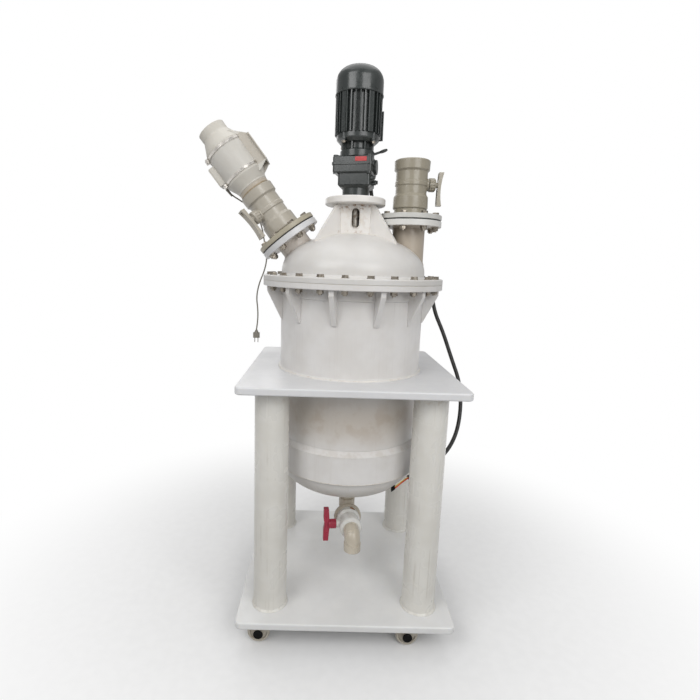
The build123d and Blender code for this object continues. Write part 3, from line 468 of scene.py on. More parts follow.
@dataclass(frozen=True)
class MouldedPlastic(Finish):
    """Injection-moulded plastic: even, satin, with a little dust and handling, and any stains and painted
    shade it is given.
    """

    shade: str = "#8d8778"
    dust: float = 0.25
    grain: float = 900.0
    edge: float = 0.0010
    clearness: float = 0.0
    parting: Parting | None = None
    grime_and_shade: tuple[GrimeAndShade | Stretch, ...] = ()

    def material(self) -> bpy.types.Material:
        """Make the moulded plastic."""
        shader = Shader(self.slot)
        cloud = shader.noise(16.0, 4.0, 0.6).ramp(0.4, 0.75)
        base = shader.mix(linear(self.colour), linear(self.shade), cloud * self.dust)
        if self.parting:
            base = shader.mix(base, linear(self.parting.colour), self.parting.mask(shader))
        for mark in self.grime_and_shade:
            base = shader.mix(base, linear(mark.colour), mark.mask(shader))
        rubbed = shader.noise(90.0, 4.0, 0.7).ramp(0.62, 0.72)
        base = shader.mix(base, linear(self.shade), rubbed * 0.4 * self.dust)
        skin = shader.noise(self.grain, 2.0, 0.5)
        normal = shader.bump(skin, 0.00006, shader.soft_edges(self.edge))
        roughness = cloud * 0.12 + (self.roughness - 0.04)
        return shader.surface(Base_Color=base, Roughness=roughness, Normal=normal, IOR=1.5,
                              Transmission_Weight=self.clearness, Subsurface_Weight=0.05,
                              Subsurface_Radius=(0.006, 0.005, 0.004), Subsurface_Scale=0.4)


@dataclass(frozen=True)
class MachinePaint(Finish):
    """Gloss enamel over a casting or pressed sheet: orange peel, dust, worn high spots."""

    cast: float = 0.3
    gloss: float = 0.5
    dust: str = "#8f9490"

    def material(self) -> bpy.types.Material:
        """Make the enamel."""
        shader = Shader(self.slot)
        cloud = shader.noise(22.0, 4.0, 0.65).ramp(0.4, 0.8)
        base = shader.mix(linear(self.colour), linear(self.dust), cloud * 0.28)
        chips = shader.noise(260.0, 3.0, 0.6).ramp(0.72, 0.76)
        base = shader.mix(base, linear(CHIP_GREY), chips * 0.35)
        peel = shader.noise(520.0, 1.0, 0.5)
        sand = shader.noise(1500.0, 2.0, 0.6)
        height = peel * (1.0 - self.cast) + sand * self.cast
        normal = shader.bump(height, 0.00010, shader.soft_edges(0.0012))
        roughness = cloud * 0.22 + self.roughness
        return shader.surface(Base_Color=base, Roughness=roughness, Normal=normal, IOR=1.5,
                              Coat_Weight=self.gloss, Coat_Roughness=0.12)


@dataclass(frozen=True)
class BareMetal(Finish):
    """Stainless or plated steel, lightly brushed, with a tea-brown bloom where it stays wet."""

    bloom: float = 0.3
    brushed: float = 0.5
    stain: str = "#6f5233"

    def material(self) -> bpy.types.Material:
        """Make the metal."""
        shader = Shader(self.slot)
        rust = shader.noise(140.0, 4.0, 0.65).ramp(0.45, 0.68)
        base = shader.mix(linear(self.colour), linear(self.stain), rust * self.bloom)
        hair = shader.noise(1.0, 3.0, 0.6, shader.stretched(300.0, 300.0, 2200.0))
        normal = shader.bump(hair, 0.00005 * self.brushed + 0.00001, shader.soft_edges(0.0006))
        roughness = hair * 0.18 + rust * 0.35 * self.bloom + self.roughness
        metallic = 1.0 - rust * self.bloom * 0.7
        return shader.surface(Base_Color=base, Roughness=roughness, Metallic=metallic, Normal=normal)


@dataclass(frozen=True)
class SoftRubber(Finish):
    """Rubber sheet, tyre or cable sheath, with grey bloom."""

    bloom: str = "#5c5a55"
    amount: float = 0.5
    shine: float = 0.5

    def material(self) -> bpy.types.Material:
        """Make the rubber."""
        shader = Shader(self.slot)
        cloud = shader.noise(60.0, 4.0, 0.65).ramp(0.4, 0.75)
        base = shader.mix(linear(self.colour), linear(self.bloom), cloud * self.amount)
        skin = shader.noise(1200.0, 3.0, 0.6)
        normal = shader.bump(skin, 0.0001, shader.soft_edges(0.0006))
        return shader.surface(Base_Color=base, Roughness=cloud * 0.2 + self.roughness, Normal=normal,
                              Specular_IOR_Level=self.shine)


@dataclass(frozen=True)
class WeldRod(Finish):
    """Hot-gas weld bead: the same plastic, rippled and a little browned."""

    def material(self) -> bpy.types.Material:
        """Make the bead."""
        shader = Shader(self.slot)
        cloud = shader.noise(70.0, 4.0, 0.7).ramp(0.45, 0.75)
        base = shader.mix(linear(self.colour), linear(SCORCH_BROWN), cloud * 0.32)
        ripple = shader.noise(330.0, 2.0, 0.5)
        return shader.surface(Base_Color=base, Roughness=cloud * 0.1 + self.roughness,
                              Normal=shader.bump(ripple, 0.0010), IOR=1.49, Subsurface_Weight=0.1,
                              Subsurface_Radius=(0.008, 0.007, 0.005), Subsurface_Scale=0.5)


FEED_FLANGE_END = 0.0218
"""How far below its joint the feed's lower flange ends."""

VENT_FLANGE_END = 0.022
"""How far below its joint the vent's lower flange ends."""

LEG_HEAD = GrimeAndShade(height=0.866, reach=0.045, strength=0.40, colour="#a48a68", scale=38.0, cover=0.50)
DECK_GRIME = GrimeAndShade(height=0.872, reach=0.004, strength=0.30, colour="#a58a63", scale=30.0, cover=0.50)
BASE_GRIME = GrimeAndShade(height=0.097, reach=0.006, strength=0.22, colour="#a49a8a", scale=40.0)
LEG_FOOT = GrimeAndShade(height=0.124, reach=0.010, strength=0.22, colour="#a39888", scale=60.0, cover=0.50)
SHELL_GRIME_AND_SHADE = (
    GrimeAndShade(height=0.655, reach=0.020, strength=0.20, colour="#a5937d", scale=30.0, cover=0.46),
    # Painted shade: a broad, almost unbroken darkening of the shell below the deck, standing in for the
    # deck's shade.
    GrimeAndShade(height=0.765, reach=0.125, strength=0.62, colour="#b5aa9b", scale=6.0, cover=0.10),
    GrimeAndShade(height=0.760, reach=0.110, strength=0.30, colour="#a8937e", scale=16.0, cover=0.47),
    # Painted shade: a broad, almost unbroken darkening of the lower shell and bowl, which face down into
    # shade.
    GrimeAndShade(height=0.470, reach=0.090, strength=0.45, colour="#bdb3a2", scale=6.0, cover=0.10),
    GrimeAndShade(height=1.165, reach=0.030, strength=0.22, colour="#a89b85", scale=45.0),
)
COLUMN_GRIME = (
    GrimeAndShade(height=1.4590, reach=0.028, strength=0.85, colour="#8a633a", scale=95.0, cover=0.47,
          within=0.058),
    GrimeAndShade(height=1.366, reach=0.016, strength=0.60, colour="#9a7550", scale=75.0, cover=0.48,
          within=0.060),
    GrimeAndShade(height=1.415, reach=0.060, strength=0.25, colour="#b39a78", scale=40.0, cover=0.48,
          within=0.058),
)
VENT_START = tuple(VENT_ORIGIN)
VENT_LINE = tuple(VENT_AHEAD)
VENT_PARTING = Parting(tuple(VENT_ORIGIN - VENT_AHEAD * VENT_FLANGE_END), VENT_LINE, "#cfcfd0")
# Painted shade: darkens the bracket's webs between the clamps, where the recess between the drum and the base
# lies in shade.
BRACKET_SHADE = Stretch(VENT_START, VENT_LINE, low=0.238, high=0.360, colour="#aca292", strength=0.50,
                        soft=0.006)
SPIGOT_STAIN = Stretch(VENT_START, VENT_LINE, low=0.186, high=0.2035, colour="#9c8b74", strength=0.55,
                       soft=0.003)
FEED_PARTING = Parting(tuple(FEED_ORIGIN - UP * FEED_FLANGE_END), tuple(UP), "#d8d7d3")
FINISHES: tuple[Finish, ...] = (
    SheetPlastic("pp_vessel", "#dddbd9", roughness=0.34, shade="#c9c5c0", mottling=0.45, scuffs=0.6,
                 grime_and_shade=SHELL_GRIME_AND_SHADE, streaks=0.10),
    SheetPlastic("pp_plate", "#dadadb", roughness=0.38, shade="#cbcbcc", mottling=0.3, scuffs=0.4,
                 edge=0.0020, grime_and_shade=(DECK_GRIME, BASE_GRIME)),
    SheetPlastic("pp_leg", "#dedcd6", roughness=0.30, shade="#c9c5bb", mottling=0.40, scuffs=0.0,
                 edge=0.0010, grime_and_shade=(LEG_HEAD, LEG_FOOT), streaks=0.26, waviness=0.0),
    SheetPlastic("pp_pedestal", "#e6e3df", roughness=0.34, shade="#cac4ba", mottling=0.35, scuffs=0.4,
                 edge=0.0015, grime_and_shade=COLUMN_GRIME),
    # Painted light: a lighter copy of the plate plastic for the base plate, lifting the shade that the deck
    # casts on it.
    SheetPlastic("pp_base_lit_copy", "#e4e4e3", roughness=0.38, shade="#cfcfce", mottling=0.3, scuffs=0.4,
                 edge=0.0020, grime_and_shade=(BASE_GRIME,)),
    SheetPlastic("pp_lid", "#d4d2cf", roughness=0.34, shade="#c6c2bd", mottling=0.45, scuffs=0.5,
                 grime_and_shade=SHELL_GRIME_AND_SHADE),
    MouldedPlastic("feed_nozzle", "#b5aa9b", roughness=0.32, shade="#958a7a", dust=0.3,
                   parting=FEED_PARTING),
    # Painted light: the vent nozzle's colour is lifted to offset the shade that falls on it.
    MouldedPlastic("vent_nozzle", "#d8d0c7", roughness=0.32, shade="#bfb5a9", dust=0.3,
                   parting=VENT_PARTING),
    MouldedPlastic("flange_grey", "#cac9c5", roughness=0.36, shade="#a9a69e"),
    MouldedPlastic("flange_beige", "#aca592", roughness=0.36, shade="#8c8573"),
    MouldedPlastic("valve_beige", "#9c9585", roughness=0.26, shade="#7f7867", dust=0.3),
    # Painted light: a lighter copy of the beige valve plastic, so that the raised vent valve reads as more
    # brightly lit.
    MouldedPlastic("vent_valve", "#b4aea2", roughness=0.22, shade="#8e8676", dust=0.3),
    MouldedPlastic("fan_plastic", "#cdc9c0", roughness=0.36, shade="#b6afa2", dust=0.3),
    MouldedPlastic("fan_drum", "#ccc9c2", roughness=0.32, shade="#bab5ab", dust=0.25),
    # This finish carries BRACKET_SHADE, painted shade on the webs.
    MouldedPlastic("fan_bracket", "#d0cdc5", roughness=0.36, shade="#b6afa2", dust=0.3,
                   grime_and_shade=(BRACKET_SHADE,)),
    MouldedPlastic("fan_inlet", "#cdc9c0", roughness=0.36, shade="#b6afa2", dust=0.3,
                   grime_and_shade=(SPIGOT_STAIN,)),
    MouldedPlastic("valve_white", "#e4e4e1", roughness=0.26, shade="#c6c1b6", dust=0.4),
    MouldedPlastic("elbow_beige", "#cfc6b6", roughness=0.28, shade="#aba08c", dust=0.35, clearness=0.12),
    MouldedPlastic("handle_red", "#a82440", roughness=0.30, shade="#6a1826", dust=0.30),
    MachinePaint("motor_paint", "#2d3231", roughness=0.22, cast=0.08, gloss=0.30, dust="#424745"),
    MachinePaint("gearbox_paint", "#292e2d", roughness=0.27, cast=0.4, gloss=0.30, dust="#3e4442"),
    BareMetal("stainless", "#a39c91", roughness=0.20, bloom=0.70, stain="#4f3d2c"),
    BareMetal("clamp_steel", "#d2cec8", roughness=0.20, bloom=0.18),
    BareMetal("steel", "#b0aca4", roughness=0.30, bloom=0.75),
    SoftRubber("rubber_black", "#1d1d1e", roughness=0.62),
    SoftRubber("cap_black", "#060606", roughness=0.55, bloom="#1a1918", amount=0.3, shine=0.15),
    MouldedPlastic("shaft_plastic", "#d6d3cb", roughness=0.38, shade="#b8b2a5"),
    MouldedPlastic("ball_white", "#e4e2dc", roughness=0.22, shade="#c6c1b5"),
    MouldedPlastic("castor_grey", "#bfb8ab", roughness=0.42, shade="#8f8778", dust=0.4),
    MouldedPlastic("wheel_grey", "#c6bfb2", roughness=0.50, shade="#958d7e", dust=0.5),
    SoftRubber("cord_grey", "#8a857b", roughness=0.50, bloom="#6e695f", amount=0.4),
    SoftRubber("cable_black", "#242423", roughness=0.42, bloom="#4e4c48", amount=0.5),
    WeldRod("weld_rod", "#dedad4", roughness=0.30),
)


class Paints:
    """All finishes, made once and handed out by slot."""

    def __init__(self, finishes: Iterable[Finish]) -> None:
        """Make a material for each finish."""
        self.made = {finish.slot: finish.material() for finish in finishes}

    def __getitem__(self, slot: str) -> bpy.types.Material:
        """The material of a slot."""
        return self.made[slot]

    def dress(self, *nodes: str) -> None:
        """Give CAD nodes the finish that the record names for them.

        Args:
            *nodes: The nodes' names.
        """
        slots = {part["node"]: part["material_slot"] for part in frame["record"]["subparts"]}
        for name in nodes:
            self.dress_as(name, slots[name])

    def dress_as(self, node: str, slot: str) -> None:
        """Give a CAD node a finish of its own.

        Args:
            node: The node's name.
            slot: The finish's name.
        """
        solid = frame["nodes"][node]
        if not solid.material_slots:
            solid.data.materials.append(None)
        for place in solid.material_slots:
            place.material = self.made[slot]

    def add(self, finish: Finish) -> bpy.types.Material:
        """Make one more finish, or hand out the one that is there.

        Args:
            finish: The finish.

        Returns:
            Its material.
        """
        if finish.slot not in self.made:
            self.made[finish.slot] = finish.material()
        return self.made[finish.slot]


# -------------------------------------------------------------------------------------------- mesh toolkit
class Form:
    """A mesh that is put together from turned, swept and extruded forms."""

    def __init__(self) -> None:
        """Start empty."""
        self.mesh = bmesh.new()

    def turned(self, outline: Sequence[tuple[float, float]], place: Matrix = Matrix(), sides: int = 48,
               closed: bool = True) -> Form:
        """Turn an outline about the local Z axis.

        Args:
            outline: (radius, height) points.
            place: Where the turned form goes.
            sides: Facets round the axis.
            closed: Whether the outline closes on itself.

        Returns:
            This form.
        """
        rings = []
        for angle in circle(sides):
            spin = [Vector((r * math.cos(angle), r * math.sin(angle), z)) for r, z in outline]
            rings.append([self.mesh.verts.new(place @ point) for point in spin])
        steps = len(outline) if closed else len(outline) - 1
        for i in range(sides):
            near, far = rings[i], rings[(i + 1) % sides]
            for j in range(steps):
                k = (j + 1) % len(outline)
                self.mesh.faces.new((near[j], far[j], far[k], near[k]))
        return self

    def swept(self, path: Sequence[Vector], radius: Callable[[float], float] | float, sides: int = 10,
              loop: bool = False) -> Form:
        """Sweep a round section along a path.

        Args:
            path: The points.
            radius: The section's radius, or a function of the way along from 0 to 1.
            sides: Facets round the section.
            loop: Whether the path closes on itself.

        Returns:
            This form.
        """
        count = len(path)
        rings = []
        side = Vector((0, 0, 1))
        for i, point in enumerate(path):
            after = path[(i + 1) % count] if loop or i + 1 < count else point
            before = path[i - 1] if loop or i else point
            ahead = (after - before).normalized()
            side = side - ahead * side.dot(ahead)
            side = side.normalized() if side.length > 1e-6 else ahead.orthogonal().normalized()
            other = ahead.cross(side)
            size = radius(i / (count - 1)) if callable(radius) else radius
            rings.append([self.mesh.verts.new(point + (side * math.cos(a) + other * math.sin(a)) * size)
                          for a in circle(sides)])
        for i in range(count if loop else count - 1):
            near, far = rings[i], rings[(i + 1) % count]
            for k in range(sides):
                self.mesh.faces.new((near[k], near[(k + 1) % sides], far[(k + 1) % sides], far[k]))
        if not loop:
            self.mesh.faces.new(list(reversed(rings[0])))
            self.mesh.faces.new(rings[-1])
        return self

    def prism(self, outline: Sequence[tuple[float, float]], low: float, high: float,
              place: Matrix = Matrix()) -> Form:
        """Extrude an outline along the local Z axis.

        Args:
            outline: (x, y) points.
            low: Where it begins.
            high: Where it ends.
            place: Where the prism goes.

        Returns:
            This form.
        """
        bottom = [self.mesh.verts.new(place @ Vector((x, y, low))) for x, y in outline]
        top = [self.mesh.verts.new(place @ Vector((x, y, high))) for x, y in outline]
        count = len(outline)
        for i in range(count):
            j = (i + 1) % count
            self.mesh.faces.new((bottom[i], bottom[j], top[j], top[i]))
        self.mesh.faces.new(list(reversed(bottom)))
        self.mesh.faces.new(top)
        return self

    def piece(self, name: str, material: bpy.types.Material, body: str = ROOT_BODY, bevel: float = 0.0,
              slot: str | None = None) -> bpy.types.Object:
        """Close the form into an object that rides on a body.

        Args:
            name: The object's name.
            material: Its material.
            body: The body that carries it.
            bevel: The width of its rounded edges, in metres.
            slot: The record's material slot; not used.

        Returns:
            The object.
        """
        bmesh.ops.recalc_face_normals(self.mesh, faces=self.mesh.faces)
        data = bpy.data.meshes.new(name)
        self.mesh.to_mesh(data)
        self.mesh.free()
        data.materials.append(material)
        for polygon in data.polygons:
            polygon.use_smooth = True
        made = bpy.data.objects.new(name, data)
        bpy.context.scene.collection.objects.link(made)
        if bevel:
            rounded = made.modifiers.new("rounded_edges", "BEVEL")
            rounded.width = bevel
            rounded.segments = 3
            rounded.limit_method = "ANGLE"
            rounded.angle_limit = math.radians(35)
        sharp = made.modifiers.new("even_shading", "WEIGHTED_NORMAL")
        sharp.keep_sharp = True
        data.set_sharp_from_angle(angle=math.radians(38))
        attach(made, body)
        return made


def circle(count: int) -> list[float]:
    """Evenly spaced angles round a full turn.

    Args:
        count: How many.

    Returns:
        The angles, in radians.
    """
    return [2 * math.pi * i / count for i in range(count)]


def rounded_outline(width: float, height: float, corner: float,
                    steps: int = 5) -> list[tuple[float, float]]:
    """A rounded rectangle about the origin.

    Args:
        width: Along X.
        height: Along Y.
        corner: The corners' radius.
        steps: Points in each corner.

    Returns:
        Its points, anticlockwise.
    """
    points = []
    for quarter, (sx, sy) in enumerate(((1, 1), (-1, 1), (-1, -1), (1, -1))):
        cx, cy = sx * (width / 2 - corner), sy * (height / 2 - corner)
        for i in range(steps + 1):
            angle = math.pi / 2 * (quarter + i / steps)
            points.append((cx + corner * math.cos(angle), cy + corner * math.sin(angle)))
    return points


def frame_at(origin: Sequence[float], x_axis: Sequence[float], z_axis: Sequence[float]) -> Matrix:
    """A local frame from its origin, X and Z directions.

    Args:
        origin: The origin, in metres.
        x_axis: The direction of local X.
        z_axis: The direction of local Z.

    Returns:
        The frame as a matrix.
    """
    z = Vector(z_axis).normalized()
    x = Vector(x_axis)
    x = (x - z * x.dot(z)).normalized()
    y = z.cross(x)
    turn = Matrix((x, y, z)).transposed().to_4x4()
    return Matrix.Translation(Vector(origin)) @ turn


# ---------------------------------------------------------------------------------------------- studio
class Lamp(Enum):
    """The studio's soft boxes: place, aim, width, height and power."""

    KEY = ((-1.9, -2.4, 3.1), (0.1, 0.0, 1.1), 2.0, 2.0, 48.0)
    FILL = ((1.5, -2.7, 2.5), (0.1, 0.0, 0.9), 2.0, 2.0, 45.0)
    TOP = ((0.1, 0.3, 3.6), (0.1, 0.0, 0.9), 2.4, 2.4, 18.0)
    BACK = ((-0.9, 2.8, 2.2), (0.1, 0.0, 1.0), 2.2, 2.0, 15.0)


@dataclass
class Studio:
    """The pale room: floor, soft lamps, world and camera."""

    camera_place: tuple[float, float, float] = (-0.00646, -1.64809, 1.25212)
    yaw: float = 0.6
    pitch: float = 9.3
    roll: float = -1.8
    lens: float = 23.58
    sensor: float = 36.0
    shift: tuple[float, float] = (0.0313, -0.0119)
    floor_radius: float = 9.0
    world_light: float = 0.42
    floor_bounce: float = 0.40

    def camera(self) -> None:
        """Set the camera up."""
        yaw, pitch, roll = (math.radians(a) for a in (self.yaw, self.pitch, self.roll))
        ahead = Vector((math.sin(yaw) * math.cos(pitch), math.cos(yaw) * math.cos(pitch), -math.sin(pitch)))
        right = Vector((math.cos(yaw), -math.sin(yaw), 0))
        down = ahead.cross(right)
        level = right * math.cos(roll) + down * math.sin(roll)
        sunk = down * math.cos(roll) - right * math.sin(roll)
        data = bpy.data.cameras.new("studio_camera")
        data.lens = self.lens
        data.sensor_width = self.sensor
        data.shift_x, data.shift_y = self.shift
        data.clip_start, data.clip_end = 0.05, 60.0
        made = bpy.data.objects.new("studio_camera", data)
        turn = Matrix((level, -sunk, -ahead)).transposed().to_4x4()
        made.matrix_world = Matrix.Translation(Vector(self.camera_place)) @ turn
        bpy.context.scene.collection.objects.link(made)
        bpy.context.scene.camera = made

    def lamps(self) -> None:
        """Hang the soft boxes."""
        for lamp in Lamp:
            place, aim, width, height, power = lamp.value
            data = bpy.data.lights.new(lamp.name.lower() + "_lamp", "AREA")
            data.shape = "RECTANGLE"
            data.size, data.size_y, data.energy = width, height, power
            made = bpy.data.objects.new(data.name, data)
            made.location = place
            made.rotation_mode = "QUATERNION"
            made.rotation_quaternion = (Vector(aim) - Vector(place)).to_track_quat("-Z", "Y")
            bpy.context.scene.collection.objects.link(made)

    def world(self) -> None:
        """A white room that lights softly."""
        world = bpy.data.worlds.new("studio_world")
        world.use_nodes = True
        tree = world.node_tree
        tree.nodes.clear()
        path = tree.nodes.new("ShaderNodeLightPath")
        seen = tree.nodes.new("ShaderNodeMath")
        seen.operation = "MAXIMUM"
        tree.links.new(path.outputs["Is Camera Ray"], seen.inputs[0])
        tree.links.new(path.outputs["Is Transmission Ray"], seen.inputs[1])
        strength = tree.nodes.new("ShaderNodeMapRange")
        tree.links.new(seen.outputs[0], strength.inputs["Value"])
        strength.inputs["To Min"].default_value = self.world_light
        strength.inputs["To Max"].default_value = 1.0
        light = tree.nodes.new("ShaderNodeBackground")
        light.inputs["Color"].default_value = WHITE
        tree.links.new(strength.outputs[0], light.inputs["Strength"])
        made = tree.nodes.new("ShaderNodeOutputWorld")
        tree.links.new(light.outputs[0], made.inputs["Surface"])
        bpy.context.scene.world = world

    def floor(self) -> None:
        """The pale floor, which goes over into the white room away from the kettle."""
        shader = Shader("studio_floor")
        x, y, _ = shader.axes()
        far = ((x - AXIS_X) ** 2.0 + y ** 2.0) ** 0.5
        blend = far.ramp(0.55, 1.7)
        cloth = shader.noise(30.0, 3.0, 0.5).ramp(0.3, 0.7, 0.905, 0.925)
        bounce = shader.node("ShaderNodeLightPath", output="Is Diffuse Ray")
        cloth = cloth * bounce.ramp(0.0, 1.0, 1.0, self.floor_bounce)
        tone = shader.node("ShaderNodeCombineColor", None, {0: cloth, 1: cloth, 2: cloth})
        matt = shader.node("ShaderNodeBsdfPrincipled", None,
                           {"Base Color": tone, "Roughness": 0.9, "Specular IOR Level": 0.1})
        white = shader.node("ShaderNodeEmission", None, {"Color": WHITE, "Strength": 1.0})
        seen = shader.node("ShaderNodeLightPath", output="Is Camera Ray")
        glossy = shader.node("ShaderNodeLightPath", output="Is Glossy Ray")
        mixed = shader.node("ShaderNodeMixShader", None,
                            {0: seen.larger(glossy) * blend, 1: matt, 2: white})
        shader.node_output(mixed)
        data = bpy.data.meshes.new("studio_floor")
        form = bmesh.new()
        bmesh.ops.create_circle(form, cap_ends=True, segments=96, radius=self.floor_radius)
        form.to_mesh(data)
        form.free()
        data.materials.append(shader.material)
        made = bpy.data.objects.new("studio_floor", data)
        bpy.context.scene.collection.objects.link(made)

    def build(self) -> None:
        """Make the whole room."""
        self.camera()
        self.lamps()
        self.world()
        self.floor()
        bpy.context.scene.view_settings.view_transform = "Standard"


# --------------------------------------------------------------------------------------------------- leads
def on_axis(points: Sequence[tuple[float, float, float]]) -> list[Vector]:
    """Turn millimetres about the vessel's axis into the model's metres.

    Args:
        points: The points, in millimetres.

    Returns:
        The points, in metres.
    """
    return [Vector((x * MM + AXIS_X, y * MM, z * MM)) for x, y, z in points]


def leaving(route: Sequence[Vector], length: float, steps: int, inside: float = 0.0) -> list[Vector]:
    """The straight line on which a lead leaves its housing, in even steps.

    Args:
        route: The lead's route.
        length: How long the line is.
        steps: How many steps it has.
        inside: How far it begins inside the housing.

    Returns:
        The points along it.
    """
    ahead = (route[1] - route[0]).normalized()
    return [route[0] + ahead * (length * i / steps - inside) for i in range(steps + 1)]


@dataclass
class Flex:
    """One flexible lead along a route."""

    name: str
    route: list[Vector]
    radius: float
    material: bpy.types.Material
    slot: str

    def curve(self) -> bpy.types.Object:
        """Make the lead as a smooth curve that rides on the kettle.

        Returns:
            The curve object.
        """
        data = bpy.data.curves.new(self.name, "CURVE")
        data.dimensions = "3D"
        data.bevel_depth = self.radius
        data.bevel_resolution = 5
        data.resolution_u = 14
        data.use_fill_caps = True
        spline = data.splines.new("NURBS")
        spline.points.add(len(self.route) - 1)
        for point, place in zip(spline.points, self.route):
            point.co = (*place, 1.0)
        spline.order_u = 3
        spline.use_endpoint_u = True
        data.materials.append(self.material)
        made = bpy.data.objects.new(self.name, data)
        bpy.context.scene.collection.objects.link(made)
        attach(made, ROOT_BODY)
        return made


@dataclass
class Leads:
    """The fan's mains lead and the motor's supply cable."""

    paints: Paints
    fan_route: list[Vector] = field(default_factory=lambda: on_axis([
        (-448.8, 20, 1506.4), (-434.7, 22, 1489.5), (-407, 42, 1474.4), (-377.3, 56, 1455.8),
        (-351.9, 61, 1429.8),
        (-335.7, 63, 1399.3), (-329, 71, 1367), (-321, 73, 1320), (-313, 72, 1275), (-322, 70, 1230),
        (-341, 68, 1184), (-351, 66, 1134), (-345, 67, 1085), (-345, 66, 1043), (-350, 66, 1009)]))
    motor_route: list[Vector] = field(default_factory=lambda: on_axis([
        (46.5, 80.5, 1680), (54, 103, 1564), (84, 140, 1446), (138, 172, 1344), (224, 184, 1268),
        (318, 164, 1204),
        (331, 138, 1096), (368, 118, 1015), (403, 99, 915), (434, 78, 832), (440, 50, 749), (424, 14, 658),
        (382, -37, 600), (320, -95, 572), (257, -149, 557), (204, -191, 556)]))
    fan_radius: float = 0.0025
    motor_radius: float = 0.00725
    fan_length: float = 0.566
    motor_length: float = 1.501
    grip_length: float = 0.028
    gland_length: float = 0.030
    gland_inside: float = 0.002
    sleeve_steps: int = 12
    cable_end: tuple[float, float, float] = (204.0, -191.0, 556.0)
    """Where the sheath is stripped back, in millimetres about the vessel's axis."""

    conductors: tuple[tuple[str, float, str], ...] = (
        ("conductor_red", -2.9, "#cc2a1e"), ("conductor_earth", 0.0, "#c4b957"),
        ("conductor_white", 2.9, "#e6e2d8"))
    """Each conductor's name, its place across the sheath in millimetres, and its colour."""

    core_radius: float = 0.0020
    tape_step: float = 0.0015
    tape_back: float = 0.014
    tape_rings: int = 12

    def grip_radius(self, way: float) -> float:
        """The ribbed grip's radius.

        Args:
            way: The way along it, from 0 to 1.

        Returns:
            The radius there.
        """
        rib = 0.0004 if round(way * self.sleeve_steps) % 2 else 0.0
        return 0.0052 - 0.0022 * way + rib

    def fan_lead(self) -> None:
        """The grey lead with its plug and the tapered grip at the box."""
        lead = Flex("fan_lead", self.fan_route, self.fan_radius, self.paints["cord_grey"],
                    "cord_grey").curve()
        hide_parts("fan_cord")
        along = leaving(self.fan_route, self.grip_length, self.sleeve_steps)
        grip = Form().swept(along, self.grip_radius, 14)
        relief = grip.piece("fan_lead_grip", self.paints["cord_grey"], slot="cord_grey")
        2 * self.fan_radius
        self.paints.dress("fan_plug")

    def core(self, name: str, side: float, colour: str) -> list[bpy.types.Object]:
        """One stripped conductor with its taped end.

        Args:
            name: The conductor's name.
            side: Where it lies in the sheath, in millimetres.
            colour: Its insulation's colour.

        Returns:
            The conductor and its tape.
        """
        x, y, z = self.cable_end
        route = on_axis([(x - side * 0.7, y + side * 0.6, z), (x - 20, y - 9 + side, z - 9 + 0.6 * side),
                         (x - 38, y - 13 + 1.2 * side, z - 23 + 0.9 * side),
                         (x - 56, y - 16 + 1.2 * side, z - 37 + 1.2 * side)])
        paint = self.paints.add(MouldedPlastic(name, colour, 0.4, "#5c4a3a", 0.15))
        wire = Flex(name, route, self.core_radius, paint, "cable_black").curve()
        ahead = (route[-1] - route[-2]).normalized()
        end = route[-1]
        wrap = [end + ahead * (self.tape_step * i - self.tape_back) for i in range(self.tape_rings)]
        tape = Form().swept(wrap, lambda t: 0.0029 - 0.0007 * abs(t - 0.5), 12)
        return [wire, tape.piece(name + "_tape", self.paints["cap_black"], slot="cable_black")]

    def motor_lead(self) -> None:
        """The black cable from the terminal box to its stripped end."""
        cable = Flex("motor_lead", self.motor_route, self.motor_radius, self.paints["cable_black"],
                     "cable_black").curve()
        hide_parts("motor_cable")
        extras = []
        for name, side, colour in self.conductors:
            extras += self.core(name, side, colour)
        along = leaving(self.motor_route, self.gland_length, self.sleeve_steps, self.gland_inside)
        gland = Form().swept(along, lambda t: 0.0115 - 0.0030 * t, 20)
        extras.append(gland.piece("motor_lead_gland", self.paints["rubber_black"], slot="rubber_black"))
        2 * self.motor_radius

    def build(self) -> None:
        """Make both leads."""
        self.fan_lead()
        self.motor_lead()


# ------------------------------------------------------------------------------------------ sub-assemblies
@dataclass
class Stand:
    """Plates, legs and castors."""

    paints: Paints
    corners: tuple[str, ...] = ("front_left", "front_right", "back_left", "back_right")
    castor_x: float = 0.249
    castor_y: float = 0.277
    trail: float = 0.036
    axle_height: float = 0.0375
    cap_radius: float = 0.0162
    cap_face: float = 0.023
    cap_sunk: float = 0.0005
    cap_height: float = 0.0022
    cap_chamfer: float = 0.0012
    cap_lip: float = 0.0020

    def axle_cap(self, corner: str, side: int) -> None:
        """The black snap cap on one end of an axle.

        Args:
            corner: The castor's corner.
            side: -1 for the front end, 1 for the back end.
        """
        across = -1 if "left" in corner else 1
        along = -1 if "front" in corner else 1
        centre = (across * self.castor_x - self.trail + AXIS_X,
                  along * self.castor_y + side * self.cap_face, self.axle_height)
        place = frame_at(centre, (1, 0, 0), (0, side, 0))
        rim, low, top = self.cap_radius, -self.cap_sunk, self.cap_height
        outer = rim - self.cap_chamfer
        inner = outer - self.cap_lip
        outline = [(0.0, low), (rim, low), (rim, top - self.cap_chamfer), (outer, top), (inner, top),
                   (inner - 0.0008, top - 0.0006), (0.0, top - 0.0008)]
        name = f"axle_cap_{corner}_{'front' if side < 0 else 'back'}"
        cap = Form().turned(outline, place, 40, closed=False)
        cap.piece(name, self.paints["cap_black"], "castor_" + corner, slot="rubber_black")

    def build(self) -> None:
        """Dress the stand and cap its axles."""
        self.paints.dress("deck_plate", "castor_plates")
        # The base plate takes a lighter copy of the plate finish: painted light against the deck's shade.
        self.paints.dress_as("base_plate", "pp_base_lit_copy")
        for corner in self.corners:
            self.paints.dress("leg_" + corner, "castor_fork_" + corner, "castor_wheel_" + corner)
            for side in (-1, 1):
                self.axle_cap(corner, side)


